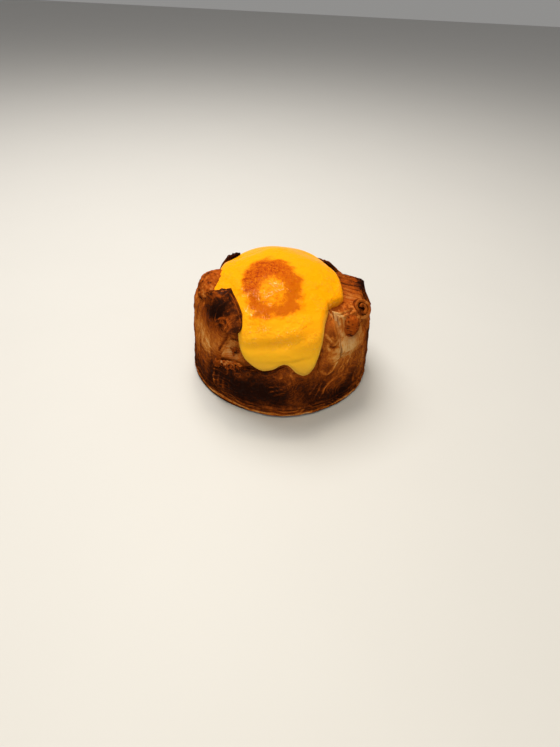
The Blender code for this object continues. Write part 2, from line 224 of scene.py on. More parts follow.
def leaf_lines(points, az, z):
    """Which leaf of the dough comes to the surface. A line runs where this is a whole number."""
    across = az * DEGREE
    bend = across - 25.4
    fields = (
        # lines round the foot
        (1.4 * (1 - ease(z, 3.0, 7.5)), 1.25 * z),
        # lines up the left wall
        (swell(az, z, 0.9, -82, 30, 3, 9), 0.7 * turn(az, -82) + 0.42 * z),
        # nested bends beside the custard at the right
        (
            swell(az, z, 1.3, 33, 9, 14, 19),
            0.55 * np.hypot(1.5 * bend, np.minimum(z - 45, 0)) + 0.35 * (np.abs(bend) - z),
        ),
        # swept lines lower down at the right
        (swell(az, z, 0.8, 48, 20, 24, 14), 0.72 * across - 0.85 * z),
        # lines up the right side
        (swell(az, z, 0.9, 84, 22, 3, 9), 0.73 * turn(az, 84) - 0.25 * z),
        # crinkles across the front
        (swell(az, z, 0.7, 0, 30, 30, 20), 0.95 * z + 0.12 * across),
        # nested bends and swept lines at the back
        (0.9 * bump(turn(az, 150), 20), np.hypot(0.924 * turn(az, 150), np.minimum(z - 36, 0))),
        (0.8 * bump(turn(az, -140), 24), 0.539 * turn(az, -140) + 0.7 * z),
        # level lines anywhere else
        (0.12, 0.9 * z),
    )
    total = sum(weight for weight, _ in fields)
    lines = sum(weight * field for weight, field in fields) / total
    way_round = math.tau * FOOT_RADIUS
    for a, h, wide, high, rise in BOWED_LEAVES:
        off = (across - a + way_round / 2) % way_round - way_round / 2
        lines = lines + rise * bump(off, wide) * bump(z - h, high)
    # the lines wander less at the sides and the back than at the front
    wander = mix(2.4, 1.5, ease(np.abs(az), 62, 84)) * lumps(points, 9.0, 3.1)
    return (lines + wander + 0.8 * lumps(points, 3.4, 5.7)) / LEAF_PITCH


GOLD = 0.40  # how brown the wall is, from 0 for raw to 1 for burnt
# where it is browner (+) or paler (-): azimuth, height, half width, half height and how much
BAKED_SPOTS = (
    (-75, 8, 34, 12, 0.34),
    (-84, 36, 12, 12, 0.08),
    (-66, 30, 8, 9, -0.10),
    (-53, 26, 7, 9, -0.14),
    (-49, 47.0, 14, 7.5, 0.40),
    (-41, 47, 7, 6, 0.12),
    (38.6, 44, 2.4, 9, -0.22),
    (-27, 43, 5, 4.5, 0.34),
    (-10, 15, 12, 9, 0.12),
    (-47, 9, 6, 10, 0.16),
    (-40, 33, 8, 6, -0.10),
    (-25, 13, 17, 8, 0.36),
    (-32, 22.6, 9, 1.8, 0.34),
    (-30, 27.5, 7, 3.0, -0.22),
    (-2, 12, 16, 9, 0.30),
    (14, 16, 10, 9, 0.16),
    (30, 33, 7, 15, 0.10),
    (26, 9, 11, 8, 0.28),
    (42, 6, 16, 6, 0.30),
    (47, 31, 9, 7, -0.20),
    (37, 32, 6, 6, -0.34),
    (46, 42, 5, 5, -0.26),
    (-30, 42, 4, 3, -0.10),
    (52, 40, 6, 5, -0.14),
    (51, 15, 8, 6, 0.32),
    (40, 8, 9, 5, 0.12),
    (33, 28, 5, 4, -0.06),
    (34, 38.6, 3, 2.6, 0.10),
    (33, 38, 6, 6, -0.08),
    (45, 35, 4, 6, -0.12),
    (57, 34, 10, 8, 0.10),
    (76, 24, 11, 22, 0.14),
    (95, 12, 16, 14, 0.20),
    (112, 33, 14, 10, -0.08),
    (128, 14, 14, 14, 0.12),
    (150, 26, 14, 14, -0.14),
    (160, 6, 22, 7, 0.26),
    (-168, 20, 16, 12, 0.30),
    (-146, 34, 14, 10, -0.16),
    (-128, 16, 16, 12, 0.10),
    (-110, 30, 14, 14, -0.06),
    (90, 47, 30, 5, 0.14),
    (150, 46, 30, 6, 0.20),
    (-150, 46, 30, 6, 0.20),
)
# the pale lines round the foot: height, half height and how pale
LIP_LINES = ((2.3, 0.95, 1.0), (4.3, 0.40, 0.5), (6.0, 0.4, 0.3))
# the second is the bake that paints shade into an open gap and a shadow under each pale line
PALE_LINE, PAINTED_SHADE_LINE = 0.06, 0.92  # the bake of a leaf's bare edge, and of an open gap
# bends of the leaves that stand out: how pale (+) or dark with painted shade (-), half width, and
# azimuth and height of their points
CREASES = (
    (0.80, 0.55, ((27.6, 41.8), (30.8, 38.5), (34.0, 35.9), (36.1, 36.7), (36.7, 39.7),
                  (36.3, 43.9))),
    (0.62, 0.50, ((31.2, 40.0), (33.2, 38.4), (34.9, 39.3), (34.1, 43.4))),
    (0.60, 0.55, ((36.6, 52.0), (38.0, 46.0), (38.7, 42.3), (39.2, 39.0))),
    (0.42, 0.55, ((41.0, 47.0), (40.8, 43.0), (41.5, 40.0))),
    (-0.55, 0.40, ((39.6, 46.5), (39.9, 42.0))),
    (0.85, 0.60, ((28.6, 36.9), (29.5, 34.4), (32.9, 32.8), (38.4, 31.3), (43.5, 30.8),
                  (48.1, 30.9))),
    (-0.60, 0.45, ((29.7, 35.9), (32.7, 34.7), (36.5, 34.0))),
    (0.55, 0.60, ((48.5, 29.6), (48.6, 25.2), (46.4, 23.4))),
    (0.85, 0.60, ((25.5, 24.3), (27.1, 22.3), (29.9, 21.1), (32.7, 22.1), (34.7, 23.7),
                  (35.9, 26.7))),
    (0.55, 0.50, ((38.6, 18.6), (34.8, 17.0), (31.2, 15.4), (28.6, 13.5), (27.5, 10.9))),
    (0.45, 0.60, ((62.0, 17.3), (58.1, 15.6), (54.9, 13.0), (54.5, 8.9))),
    (0.30, 0.50, ((43.1, 21.7), (41.8, 18.7), (42.5, 13.9))),
    (0.30, 0.45, ((46.7, 28.1), (47.2, 24.6), (46.0, 20.6), (46.6, 17.0))),
    (0.55, 0.50, ((-39.9, 23.2), (-42.0, 18.4), (-42.9, 13.4), (-42.4, 8.9), (-41.5, 4.6),
                  (-38.8, 2.4))),
    (-0.60, 0.80, ((-44.6, 17.0), (-45.2, 13.0), (-44.4, 8.0))),
    (0.45, 0.40, ((-38.1, 17.1), (-39.3, 12.0), (-38.8, 8.1), (-36.2, 5.7), (-32.2, 4.9))),
    (0.35, 0.40, ((-34.0, 16.4), (-35.9, 11.7), (-35.0, 7.9), (-31.5, 6.3))),
    (0.22, 0.40, ((-30.1, 16.0), (-31.2, 12.2), (-30.0, 9.2))),
    (0.40, 0.40, ((-3.0, 23.9), (0.1, 22.5), (2.4, 23.1))),
    (0.42, 0.40, ((-5.0, 18.0), (-1.5, 18.6), (2.6, 18.2), (6.7, 19.8))),
    (0.40, 0.40, ((-5.5, 14.9), (-2.6, 16.2), (0.9, 17.0), (5.0, 17.6))),
    (0.32, 0.40, ((-2.5, 14.0), (1.1, 14.8), (3.4, 15.4))),
    (0.35, 0.40, ((7.5, 25.3), (6.0, 22.0), (6.7, 18.7))),
    (0.35, 0.45, ((22.3, 16.6), (20.8, 14.9), (18.8, 12.7))),
    (0.38, 0.45, ((26.2, 16.9), (24.6, 13.6), (22.2, 10.3))),
    (0.35, 0.45, ((30.5, 15.9), (28.4, 12.4), (25.7, 8.4))),
    (0.50, 0.45, ((-43.3, 42.3), (-40.6, 43.9), (-38.0, 45.0), (-35.6, 45.3), (-33.4, 44.8),
                  (-30.5, 43.6))),
    (0.32, 0.40, ((-43.4, 40.2), (-39.8, 42.2), (-36.5, 42.8), (-34.2, 42.0))),
    (-0.45, 0.60, ((-51.2, 44.7), (-50.5, 40.9), (-51.9, 36.1))),
    (-0.35, 0.60, ((-67.3, 41.8), (-70.1, 31.4), (-72.7, 15.8))),
    (-0.80, 0.70, ((-34.4, 37.0), (-37.8, 32.4), (-41.0, 27.2))),
    (0.50, 0.40, ((-57.0, 51.0), (-50.0, 51.7), (-45.0, 52.3))),
    (0.45, 0.60, ((112.0, 34.0), (104.0, 26.0), (107.0, 16.0), (118.0, 10.0))),
    (0.45, 0.50, ((128.0, 30.0), (138.0, 22.0), (152.0, 20.0), (163.0, 26.0))),
    (0.50, 0.50, ((174.0, 32.0), (184.0, 24.0), (196.0, 26.0), (204.0, 34.0))),
    (0.40, 0.50, ((180.0, 14.0), (194.0, 10.0), (208.0, 14.0))),
    (0.45, 0.50, ((222.0, 28.0), (232.0, 20.0), (246.0, 18.0), (258.0, 24.0))),
    (-0.50, 0.50, ((214.0, 30.0), (218.0, 20.0), (214.0, 8.0))),
)
CREASE_REACH = 3.0  # no crease is looked for further above or below its points than this
CREASE_SPAN = 40.0  # and further than this to its sides
# how clearly the leaves show, and how red the crust is, as in BAKED_SPOTS
LINED_SPOTS = (
    (31, 32, 12, 12, -0.12),
    (60, 16, 26, 14, 0.25),
    (47, 30, 9, 6, 0.35),
    (-80, 24, 34, 18, 0.35),
    (-33, 24, 10, 5, 0.5),
    (-37, 42, 10, 6, 0.8),
    (-30, 12, 14, 9, 0.5),
    (2, 16, 12, 8, 0.35),
    (110, 24, 30, 20, 0.25),
    (165, 24, 34, 20, 0.25),
    (-135, 24, 34, 20, 0.25),
)
RED_SPOTS = (
    (-44, 46, 13, 9, 0.7),
    (-31, 27, 7, 4, 0.6),
    (47, 41, 9, 6, 0.7),
    (80, 47, 26, 7, 0.35),
    (-84, 47, 16, 8, 0.35),
    (-36, 23, 8, 3, 0.5),
)


def crease_lines(az, z, low=0.0):
    """How strongly a pale (+) or dark (-) crease shows, with the pattern lowered by this much."""
    total = np.zeros(len(az))
    for amount, half, places in CREASES:
        path = np.array(places)
        x, y = turn(az, path[0, 0]) * DEGREE, z + low
        beside = (y > path[:, 1].min() - CREASE_REACH) & (y < path[:, 1].max() + CREASE_REACH)
        near = np.flatnonzero(beside & (np.abs(x) < CREASE_SPAN))
        line = np.column_stack([turn(path[:, 0], path[0, 0]) * DEGREE, path[:, 1]])
        gap = np.full(len(near), 3 * CREASE_REACH)
        for a, b in zip(line, line[1:]):
            ahead = b - a
            t = ((x[near] - a[0]) * ahead[0] + (y[near] - a[1]) * ahead[1]) / (ahead @ ahead)
            closest = a + np.clip(t, 0, 1)[:, None] * ahead
            gap = np.minimum(gap, np.hypot(x[near] - closest[:, 0], y[near] - closest[:, 1]))
        total[near] += amount * bump(gap, half)
    return np.clip(total, -1, 1)


def lining(points, az, z):
    """How clearly the leaves show as lines, from 0 to 1."""
    foot = 0.9 * (1 - ease(z, 3.0, 7.0))
    return np.clip(0.22 + foot + spread(az, z, LINED_SPOTS) + 0.3 * lumps(points, 8.0, 11.0), 0, 1)


def browning(points, az, z):
    """How brown the dough is, from 0 for raw to 1 for burnt."""
    upright = points * np.array((1, 1, 0.2))
    sway = 0.6 * lumps(upright, 12.0, 9.0) + 0.2 * lumps(points, 3.0, 9.0)
    lip = sum(amount * bump(z + sway - h, high) for h, high, amount in LIP_LINES)
    lip = lip * (0.8 + 0.5 * lumps(points, 6.0, 9.0))
    streaks = 0.26 * lumps(points * np.array((1.5, 1.5, 0.13)), 2.4, 12.0)
    streaks = streaks * at_sides(az, 24, 16, 0.15)
    bake = GOLD + spread(az, z, BAKED_SPOTS) + 0.16 * lumps(points, 11.0, 2.0, 2) + streaks
    bake = bake + 0.14 * bump(z - 3.0, 3.0)
    waver = 0.25 * lumps(points, 2.5, 3.0)
    crease = crease_lines(az, z + waver) * (0.85 + 0.5 * lumps(points, 4.0, 6.0))
    pale = np.clip(np.maximum(crease, lip), 0, 0.95)
    # each pale line has a painted shadow just under it, and the dark creases are painted shade
    gap = np.clip(-crease + 0.35 * crease_lines(az, z + waver, 0.9) - pale, 0, 0.9)
    bake = mix(mix(bake, PALE_LINE, pale), PAINTED_SHADE_LINE, gap)
    # the rim of the underside is painted dark, as the shade under the rounded foot
    return bake + 0.6 * (1 - ease(z, 0.5, 1.6))


def reddening(points, az, z):
    return np.clip(spread(az, z, RED_SPOTS) + 0.10 + 0.25 * lumps(points, 8.0, 6.0), 0, 1)


STEP_HEIGHT, LIP_HEIGHT, CREASE_HEIGHT = 0.34, 0.34, 0.40
STREAK_HEIGHT, BLISTER_HEIGHT, PIMPLE_HEIGHT = 0.22, 0.55, 0.26
CRINKLED = (0, 11, 22, 9, 0.30)  # azimuth, height, half width, half height and how high


def relief(points, az, z, leaf):
    """Steps, wrinkles and blisters of the baked surface, outwards."""
    step = leaf - np.floor(leaf)
    steps = -STEP_HEIGHT * (ease(step, 0.0, 0.16) - step - 0.2) * lining(points, az, z)
    lip = LIP_HEIGHT * np.sin(z * 2.6 + 0.6 * lumps(points, 8.0)) * bump(z - 4.2, 2.6)
    crinkle = lumps(points * np.array((0.5, 0.5, 1.6)), 2.2, 8.0) * spot(az, z, *CRINKLED)
    streaks = STREAK_HEIGHT * lumps(points * np.array((1.4, 1.4, 0.3)), 2.6, 1.0)
    streaks = streaks * at_sides(az, 28, 24, 0.4)
    crease = CREASE_HEIGHT * crease_lines(az, z + 0.25 * lumps(points, 2.5, 3.0))
    blisters = BLISTER_HEIGHT * lumps(points, 7.0) + PIMPLE_HEIGHT * lumps(points, 2.6, 4.0)
    return steps + lip + crinkle + streaks + crease + blisters


def spun(rows, steps):
    """The rows of a half section turned round the axis."""
    bm = bmesh.new()
    line = [bm.verts.new((0, -max(row[0], 0.0), row[1])) for row in rows]
    for a, b in zip(line, line[1:]):
        bm.edges.new((a, b))
    bmesh.ops.spin(
        bm,
        geom=bm.verts[:] + bm.edges[:],
        cent=(0, 0, 0),
        axis=(0, 0, 1),
        angle=math.tau,
        steps=steps,
        use_merge=True,
    )
    bmesh.ops.remove_doubles(bm, verts=bm.verts, dist=0.0005)
    return bm


def points_of(bm):
    return np.array([v.co[:] for v in bm.verts])


class Link:
    """An output of a shader node. Arithmetic on it adds Math nodes, and add() any other node."""

    def __init__(self, tree, socket=None):
        self.tree = tree
        self.socket = socket

    def add(self, kind, settings=None, inputs=None, output=0):
        node = self.tree.nodes.new("ShaderNode" + kind)
        for key, value in (settings or {}).items():
            if key == "stops":
                self.set_stops(node.color_ramp, value)
            else:
                setattr(node, key, value)
        for key, value in (inputs or {}).items():
            if isinstance(value, Link):
                self.tree.links.new(value.socket, node.inputs[key])
            else:
                node.inputs[key].default_value = value
        return Link(self.tree, node.outputs[output])

    @staticmethod
    def set_stops(ramp, stops):
        for element, (place, colour) in zip(ramp.elements, (stops[0], stops[-1])):
            element.position, element.color = place, (*colour, 1)
        for place, colour in stops[1:-1]:
            ramp.elements.new(place).color = (*colour, 1)

    def maths(self, operation, *values):
        return self.add("Math", {"operation": operation}, dict(enumerate(values)))

    def __add__(self, other):
        return self.maths("ADD", self, other)

    __radd__ = __add__

    def __sub__(self, other):
        return self.maths("SUBTRACT", self, other)

    def __rsub__(self, other):
        return self.maths("SUBTRACT", other, self)

    def __mul__(self, other):
        return self.maths("MULTIPLY", self, other)

    __rmul__ = __mul__

    def __truediv__(self, other):
        return self.maths("DIVIDE", self, other)

    def __pow__(self, other):
        return self.maths("POWER", self, other)

    def sine(self):
        return self.maths("SINE", self)

    def fraction(self):
        return self.maths("FRACT", self)

    def rise(self, low, high):
        """0 below low and 1 above high, smoothly between them."""
        inputs = {"Value": self, "From Min": low, "From Max": high, "To Min": 0.0, "To Max": 1.0}
        return self.add("MapRange", {"interpolation_type": "SMOOTHSTEP"}, inputs)

    def on_object(self, kind, size, **inputs):
        """A texture on the object's own coordinates, with lumps of about this many millimetres."""
        place = self.add("TexCoord", output="Object")
        return self.add(kind, inputs={"Vector": place, "Scale": 1 / (size * MM), **inputs})

    def noise(self, size, detail=4.0, roughness=0.55):
        return self.on_object("TexNoise", size, Detail=detail, Roughness=roughness, Distortion=0.0)

    def cells(self, size):
        return self.on_object("TexVoronoi", size)

    def attribute(self, name):
        return self.add("Attribute", {"attribute_name": name}, output=2)

    def blend(self, factor, first, second):
        return self.add("MixRGB", inputs={"Fac": factor, "Color1": first, "Color2": second})

    def bump(self, height, strength, distance):
        inputs = {"Height": height, "Strength": strength, "Distance": distance}
        return self.add("Bump", inputs=inputs)


def new_material(name):
    """A material with its Principled shader's inputs and a Link to build on."""
    material = bpy.data.materials.new(name)
    material.use_nodes = True
    tree = material.node_tree
    return material, tree.nodes["Principled BSDF"].inputs, Link(tree)


def connect(link, socket):
    link.tree.links.new(link.socket, socket)


# colours of the dough from raw to burnt, as linear RGB
DOUGH_STAGES = (
    (0.00, (0.70, 0.43, 0.17)),
    (0.16, (0.62, 0.285, 0.070)),
    (0.32, (0.49, 0.148, 0.019)),
    (0.48, (0.28, 0.066, 0.0080)),
    (0.64, (0.125, 0.027, 0.0045)),
    (0.80, (0.050, 0.0110, 0.0032)),
    (1.00, (0.014, 0.0045, 0.0026)),
)
RED_CRUST = (0.34, 0.058, 0.0045)
DOUGH_BUMP = 0.36  # depth of what is too fine for the mesh


def dough_material(name):
    material, shader, link = new_material(name)
    bake, leaf, lined, ruddy = (link.attribute(key) for key in ("bake", "leaf", "lined", "ruddy"))
    mottle = link.noise(7.0, 5.0, 0.6)
    fine = link.noise(1.7, 5.0, 0.64)
    grit = link.noise(0.55, 3.0, 0.6)
    # each leaf's free edge is pale, with a thin painted shadow line under it on the next one
    step = (leaf + link.noise(3.0, 3.0, 0.5) * 0.5).fraction()
    broken = link.noise(3.4, 3.0, 0.55).rise(0.36, 0.56) * lined
    pale_edge = (1.0 - step.rise(0.0, 0.22)) * broken
    shadow = (1.0 - step.rise(0.62, 1.0)) * step.rise(0.18, 0.34) * broken
    finer = ((leaf * 2.7 + fine * 1.1) * math.tau).sine() * 0.5 + 0.5
    tone = bake + 0.07 + (mottle - 0.5) * 0.34 + (fine - 0.5) * 0.50 + (grit - 0.5) * 0.36
    tone = tone - pale_edge * 0.28 + shadow * 0.13 + (finer - 0.5) * (lined * 0.07 + 0.03)
    crust = link.add("ValToRGB", {"stops": DOUGH_STAGES}, {"Fac": tone})
    reddened = link.blend(ruddy * (1.0 - tone.rise(0.55, 0.9)), crust, (*RED_CRUST, 1))
    connect(reddened, shader["Base Color"])
    connect((fine - 0.5) * 0.4 + 0.62, shader["Roughness"])
    shader["Specular IOR Level"].default_value = 0.0
    # the baked sugar's gloss lies in small patches
    connect(fine.rise(0.50, 0.66) * 0.07, shader["Coat Weight"])
    shader["Coat Roughness"].default_value = 0.34
    height = (1.0 - step) * lined * 0.7 + finer * 0.22 + fine * 1.1 + grit * 0.5
    connect(link.bump(height, 0.8, DOUGH_BUMP * MM), shader["Normal"])
    return material


baked_dough = dough_material("baked_dough")


BOX_GAP = 0.01
WELD = 0.002  # points closer than this are one


def clear_of_box(points):
    """Keeps a piece inside the size of the solids it stands for."""
    low, high = np.array(cad_low) / MM, np.array(cad_high) / MM
    return np.clip(points, low + BOX_GAP, high - BOX_GAP)


def dress(name, bm, points, material, values):
    """Makes a finished piece of a bmesh, from arrays of its points in millimetres and of what its
    material reads at each of them."""
    mesh = bpy.data.meshes.new(name)
    bm.to_mesh(mesh)
    bm.free()
    mesh.vertices.foreach_set("co", (clear_of_box(points) * MM).ravel())
    for key, value in values.items():
        attribute = mesh.attributes.new(key, "FLOAT", "POINT")
        attribute.data.foreach_set("value", np.broadcast_to(value, len(points)).astype(np.float32))
    bm = bmesh.new()
    bm.from_mesh(mesh)
    bmesh.ops.remove_doubles(bm, verts=bm.verts, dist=WELD * MM)
    bmesh.ops.recalc_face_normals(bm, faces=bm.faces)
    bm.to_mesh(mesh)
    bm.free()
    mesh.shade_smooth()
    mesh.materials.append(material)
    obj = bpy.data.objects.new(name, mesh)
    bpy.context.scene.collection.objects.link(obj)
    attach(obj, "root")
    return obj


def dough_piece(name, bm, points, leaf, lined, bake, ruddy):
    values = {"leaf": leaf, "lined": lined, "bake": bake, "ruddy": ruddy}
    piece = dress(name, bm, points, baked_dough, values)
    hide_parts("pastry")


def make_drum():
    rows = drum_profile(DRUM_SPACING)
    bm = spun(rows, DRUM_STEPS)
    bmesh.ops.holes_fill(bm, edges=[e for e in bm.edges if e.is_boundary], sides=0)
    plain = points_of(bm)
    az, radius, z = azimuth(plain), np.hypot(plain[:, 0], plain[:, 1]), plain[:, 2]
    from_row = (rows[None, :, 0] - radius[:, None]) ** 2 + (rows[None, :, 1] - z[:, None]) ** 2
    nearest = np.argmin(from_row, axis=1)
    out = polar(az, rows[nearest, 2], rows[nearest, 3])
    points = polar(az, radius + out_of_cone(az, radius, z), crown_height(az, radius, z))
    leaf = leaf_lines(points, az, z)
    # the underside stays flat
    points += out * (relief(points, az, z, leaf) * ease(z, 0.3, 2.4))[:, None]
    dough_piece(
        "drum",
        bm,
        points,
        leaf=leaf,
        lined=lining(points, az, z),
        bake=browning(points, az, z),
        ruddy=reddening(points, az, z),
    )


make_drum()


# ---------------------------------------------------------------- Folds
# Flaps and panels of the same dough that lie on the wall or stand up from it. Each is a few thin
# leaves baked together, and at its free edges the leaves part, tear and darken.

# of each fold: azimuths of its left and right sides at the foot and at the crown, heights of its
# foot and crown at those sides, how far the crown leans in and how far the fold bows sideways
# there, how far it stands out, thickness, raggedness, which sides run smoothly into the drum
# (left, right, foot, crown), how many leaves it has, how much browner it is than the drum at its
# foot and its crown, and how far its lower right corner curls out
FOLDS = (
    dict(
        name="flap", foot_az=(-58, -31.5), crown_az=(-53, -44), foot=(36, 41), crown=(52.8, 53.7),
        lean=(0.0, 8.5), bow=(-1, 11), proud=1.1, thick=1.7, ragged=0.9, merged=(1, 0, 1, 0),
        leaves=3, browner=(0.0, 0.10), curl=3.2,
    ),
    dict(
        name="front_panel", foot_az=(-44, 21), crown_az=(-43, 10), foot=(4, 5), crown=(20.5, 29),
        lean=(0, 0), bow=(0, 0), proud=1.7, thick=2.0, ragged=0.6, merged=(0, 1, 1, 0),
        leaves=3, browner=(0.0, 0.12),
    ),
    dict(
        name="ledge_leaf", foot_az=(-38.5, -23), crown_az=(-33.0, -23), foot=(22.0, 24),
        crown=(35.0, 37.2), lean=(0.6, 0.6), bow=(-1, 2), proud=1.2, thick=1.4, ragged=1.2,
        merged=(0, 1, 1, 0), leaves=2, browner=(-0.02, -0.14),
    ),
    dict(
        name="front_curl", foot_az=(23, 36.5), crown_az=(29, 37), foot=(20, 22),
        crown=(45.2, 46.4), lean=(4.6, 5.1), bow=(-2, 1), proud=1.5, thick=2.0, ragged=0.4,
        merged=(0, 0, 1, 1), leaves=2, browner=(-0.03, 0.05),
    ),
    dict(
        name="knob_fold", foot_az=(39, 66), crown_az=(38.5, 62), foot=(25, 23), crown=(47.5, 46),
        lean=(4.5, 3.5), bow=(0, 2), proud=1.6, thick=2.2, ragged=0.4, merged=(0, 1, 1, 0),
        leaves=2, browner=(-0.14, -0.12),
    ),
    dict(
        name="right_panel", foot_az=(68, 122), crown_az=(80, 112), foot=(6, 5), crown=(29, 37),
        lean=(0, 0), bow=(5, -4), proud=1.1, thick=2.0, ragged=0.8, merged=(1, 1, 1, 0),
        leaves=3, browner=(0.0, 0.1),
    ),
    dict(
        name="back_flap", foot_az=(122, 166), crown_az=(134, 155), foot=(24, 21),
        crown=(46.0, 44.8), lean=(10.5, 9.8), bow=(-3, 4), proud=1.3, thick=2.0, ragged=1.0,
        merged=(0, 0, 1, 0), leaves=3, browner=(-0.05, 0.06),
    ),
    dict(
        name="back_panel", foot_az=(168, 230), crown_az=(181, 219), foot=(5, 6), crown=(27, 35),
        lean=(0, 0), bow=(4, -5), proud=1.2, thick=2.0, ragged=0.8, merged=(0, 1, 1, 0),
        leaves=3, browner=(0.05, 0.15),
    ),
    dict(
        name="left_flap", foot_az=(212, 237), crown_az=(224, 236), foot=(22, 18),
        crown=(47.4, 48.2), lean=(8.4, 9.0), bow=(-3, 3), proud=1.3, thick=2.2, ragged=1.2,
        merged=(0, 0, 1, 0), leaves=3, browner=(-0.12, 0.26),
    ),
)
LEAF_EDGE = 0.55  # how finely a fold is meshed
FADE, FRAYED = 0.32, 0.12  # shares of a fold over which a side runs in, or is torn
ROOT = 0.5  # how far a side that runs in ends under the drum's surface
BACK_STEP = 0.66  # how far back the last leaf lies, as a share of the fold's thickness
LEAF_SHARE = 0.95  # a leaf's thickness, as a share of its part of the fold's
EDGE_ROUND = 0.14


def sheet_pattern(columns, rows):
    """A thin closed slab whose points are at its own u and v, and at 0 outside to 1 inside."""
    bm = bmesh.new()
    bmesh.ops.create_grid(bm, x_segments=columns, y_segments=rows, size=0.5)
    bmesh.ops.translate(bm, vec=(0.5, 0.5, 0), verts=bm.verts)
    copied = bmesh.ops.duplicate(bm, geom=bm.verts[:] + bm.edges[:] + bm.faces[:])
    inside = [g for g in copied["geom"] if isinstance(g, bmesh.types.BMVert)]
    bmesh.ops.translate(bm, vec=(0, 0, 1), verts=inside)
    bmesh.ops.bridge_loops(bm, edges=[e for e in bm.edges if e.is_boundary])
    through = [e for e in bm.edges if abs(e.verts[0].co.z - e.verts[1].co.z) > 0.5]
    bmesh.ops.subdivide_edges(bm, edges=through, cuts=1, use_grid_fill=True)
    return bm


def joined(parts):
    """Several bmeshes as one, with their points in the same order."""
    whole = bmesh.new()
    for bm in parts:
        mesh = bpy.data.meshes.new("joining")
        bm.to_mesh(mesh)
        bm.free()
        whole.from_mesh(mesh)
        bpy.data.meshes.remove(mesh)
    return whole


def across_fold(sides, u):
    """A size given at a fold's two sides, between them."""
    return mix(sides[0], sides[1], u)


def make_fold(
    name, foot_az, crown_az, foot, crown, lean, bow, proud, thick, ragged, merged, leaves, browner,
    curl=0.0,
):
    wide = max(abs(foot_az[1] - foot_az[0]), abs(crown_az[1] - crown_az[0])) * DEGREE
    tall = max(crown) - min(foot)
    free_left, free_right, _, free_top = (1 - runs_in for runs_in in merged)
    slabs, places, facts = [], [], []
    for k in range(leaves):
        bm = sheet_pattern(round(wide / LEAF_EDGE), round(tall / LEAF_EDGE))
        u, v, w = points_of(bm).T
        wobble = np.column_stack([u * 6 + k * 3.7, v * 5 + foot_az[0], w * 0 + k * 1.3])
        torn = ragged * (lumps(wobble, 1.0, 0.3) + 0.5 * lumps(wobble, 0.35, 2.0))
        # the leaves behind reach a little further, and a free side is torn
        back = k / max(leaves - 1, 1)
        grow = 0.035 * back + 0.012 * torn
        across = u + grow * (free_right * ease(u, 0.6, 1.0) - free_left * ease(1 - u, 0.6, 1.0))
        up = v + (0.03 * back + 0.035 * torn) * free_top * ease(v, 0.5, 1.0)
        curled = curl * ease(u, 0.62, 1.0) * bump(v - 0.16, 0.26)
        az = mix(across_fold(foot_az, across), across_fold(crown_az, across), up)
        az = az + across_fold(bow, across) * 4 * up * (1 - up) + 0.9 * curled
        z = mix(across_fold(foot, across), across_fold(crown, across), up)
        corner = min(curl, 1.0) * ease(u, 0.66, 0.90)
        sink, free = 0.0, 1.0
        for side, runs_in in zip((u, 1 - u, v + corner, 1 - v), merged):
            if runs_in:
                sink = np.maximum(sink, 1 - ease(side, 0.0, FADE))
            else:
                free = np.minimum(free, ease(side, 0.0, FRAYED))
        edge = 1 - free
        gape = edge * (1 - sink) * (0.28 + 0.5 * lumps(wobble, 0.8, 5.0)) * (1 - back)
        outside = proud * (1 - sink) - ROOT * sink - BACK_STEP * back * thick + gape + curled
        depth = LEAF_SHARE * w * thick / leaves
        depth = depth + EDGE_ROUND * np.where(w == 0.5, -edge, edge * 0.4)
        inward = across_fold(lean, across) * up * up
        radius = wall_radius(az, np.minimum(z, WALL_TOP)) + outside - depth - inward
        slabs.append(bm)
        places.append(polar(az, radius, z))
        facts.append(np.column_stack([edge, w + k, up, sink * np.ones_like(u)]))
    points = np.concatenate(places)
    edge, layer, height, sink = np.concatenate(facts).T
    az, z = azimuth(points), points[:, 2]
    leaf = leaf_lines(points, az, z) + 1.6 * edge * layer
    out = polar(az, 1.0, 0.25)
    points = points + out * (relief(points, az, z, leaf) * (0.85 - 0.45 * edge))[:, None]
    burnt = mix(browner[0], browner[1], ease(height, 0.15, 0.8)) * (1 - 0.6 * sink)
    # the edge is palest between the two outermost leaves
    rim = 0.20 * lumps(points, 3.0, 4.4) + 0.02 - 0.12 * (layer > 0.4) * (layer < 1.2)
    dough_piece(
        name,
        joined(slabs),
        points,
        leaf=leaf,
        lined=np.clip(lining(points, az, z) + 0.4 * edge, 0, 1),
        bake=browning(points, az, z) + burnt + edge * rim,
        ruddy=reddening(points, az, z),
    )


for fold_sizes in FOLDS:
    make_fold(**fold_sizes)


# ---------------------------------------------------------------- Rounded lumps
# Ends of the dough that puffed up into round knobs, blistered and browned on top. One stands at
# the back left, and two lie under the rolled knob at the front right.

# name, middle, radii, how brown, how red, and how clearly the leaves show
BUNS = (
    ("left_knob", (-31.8, -8.5, 46.0), (7.5, 10.5, 7.3), 0.45, 0.5, 0.2),
    ("knob_seat", (28.5, -20.0, 42.2), (8.2, 7.0, 5.4), 0.36, 0.40, 0.8),
    ("knob_bulge", (28.2, -26.4, 40.6), (5.8, 5.2, 6.4), 0.46, 0.75, 0.9),
)
BUN_STEPS, BUN_ROWS = 110, 64
BUN_PITCH = 1.7  # distance between the lines of two leaves
FULL_BLISTERS = 6.0  # a lump with a smaller radius than this has lower blisters


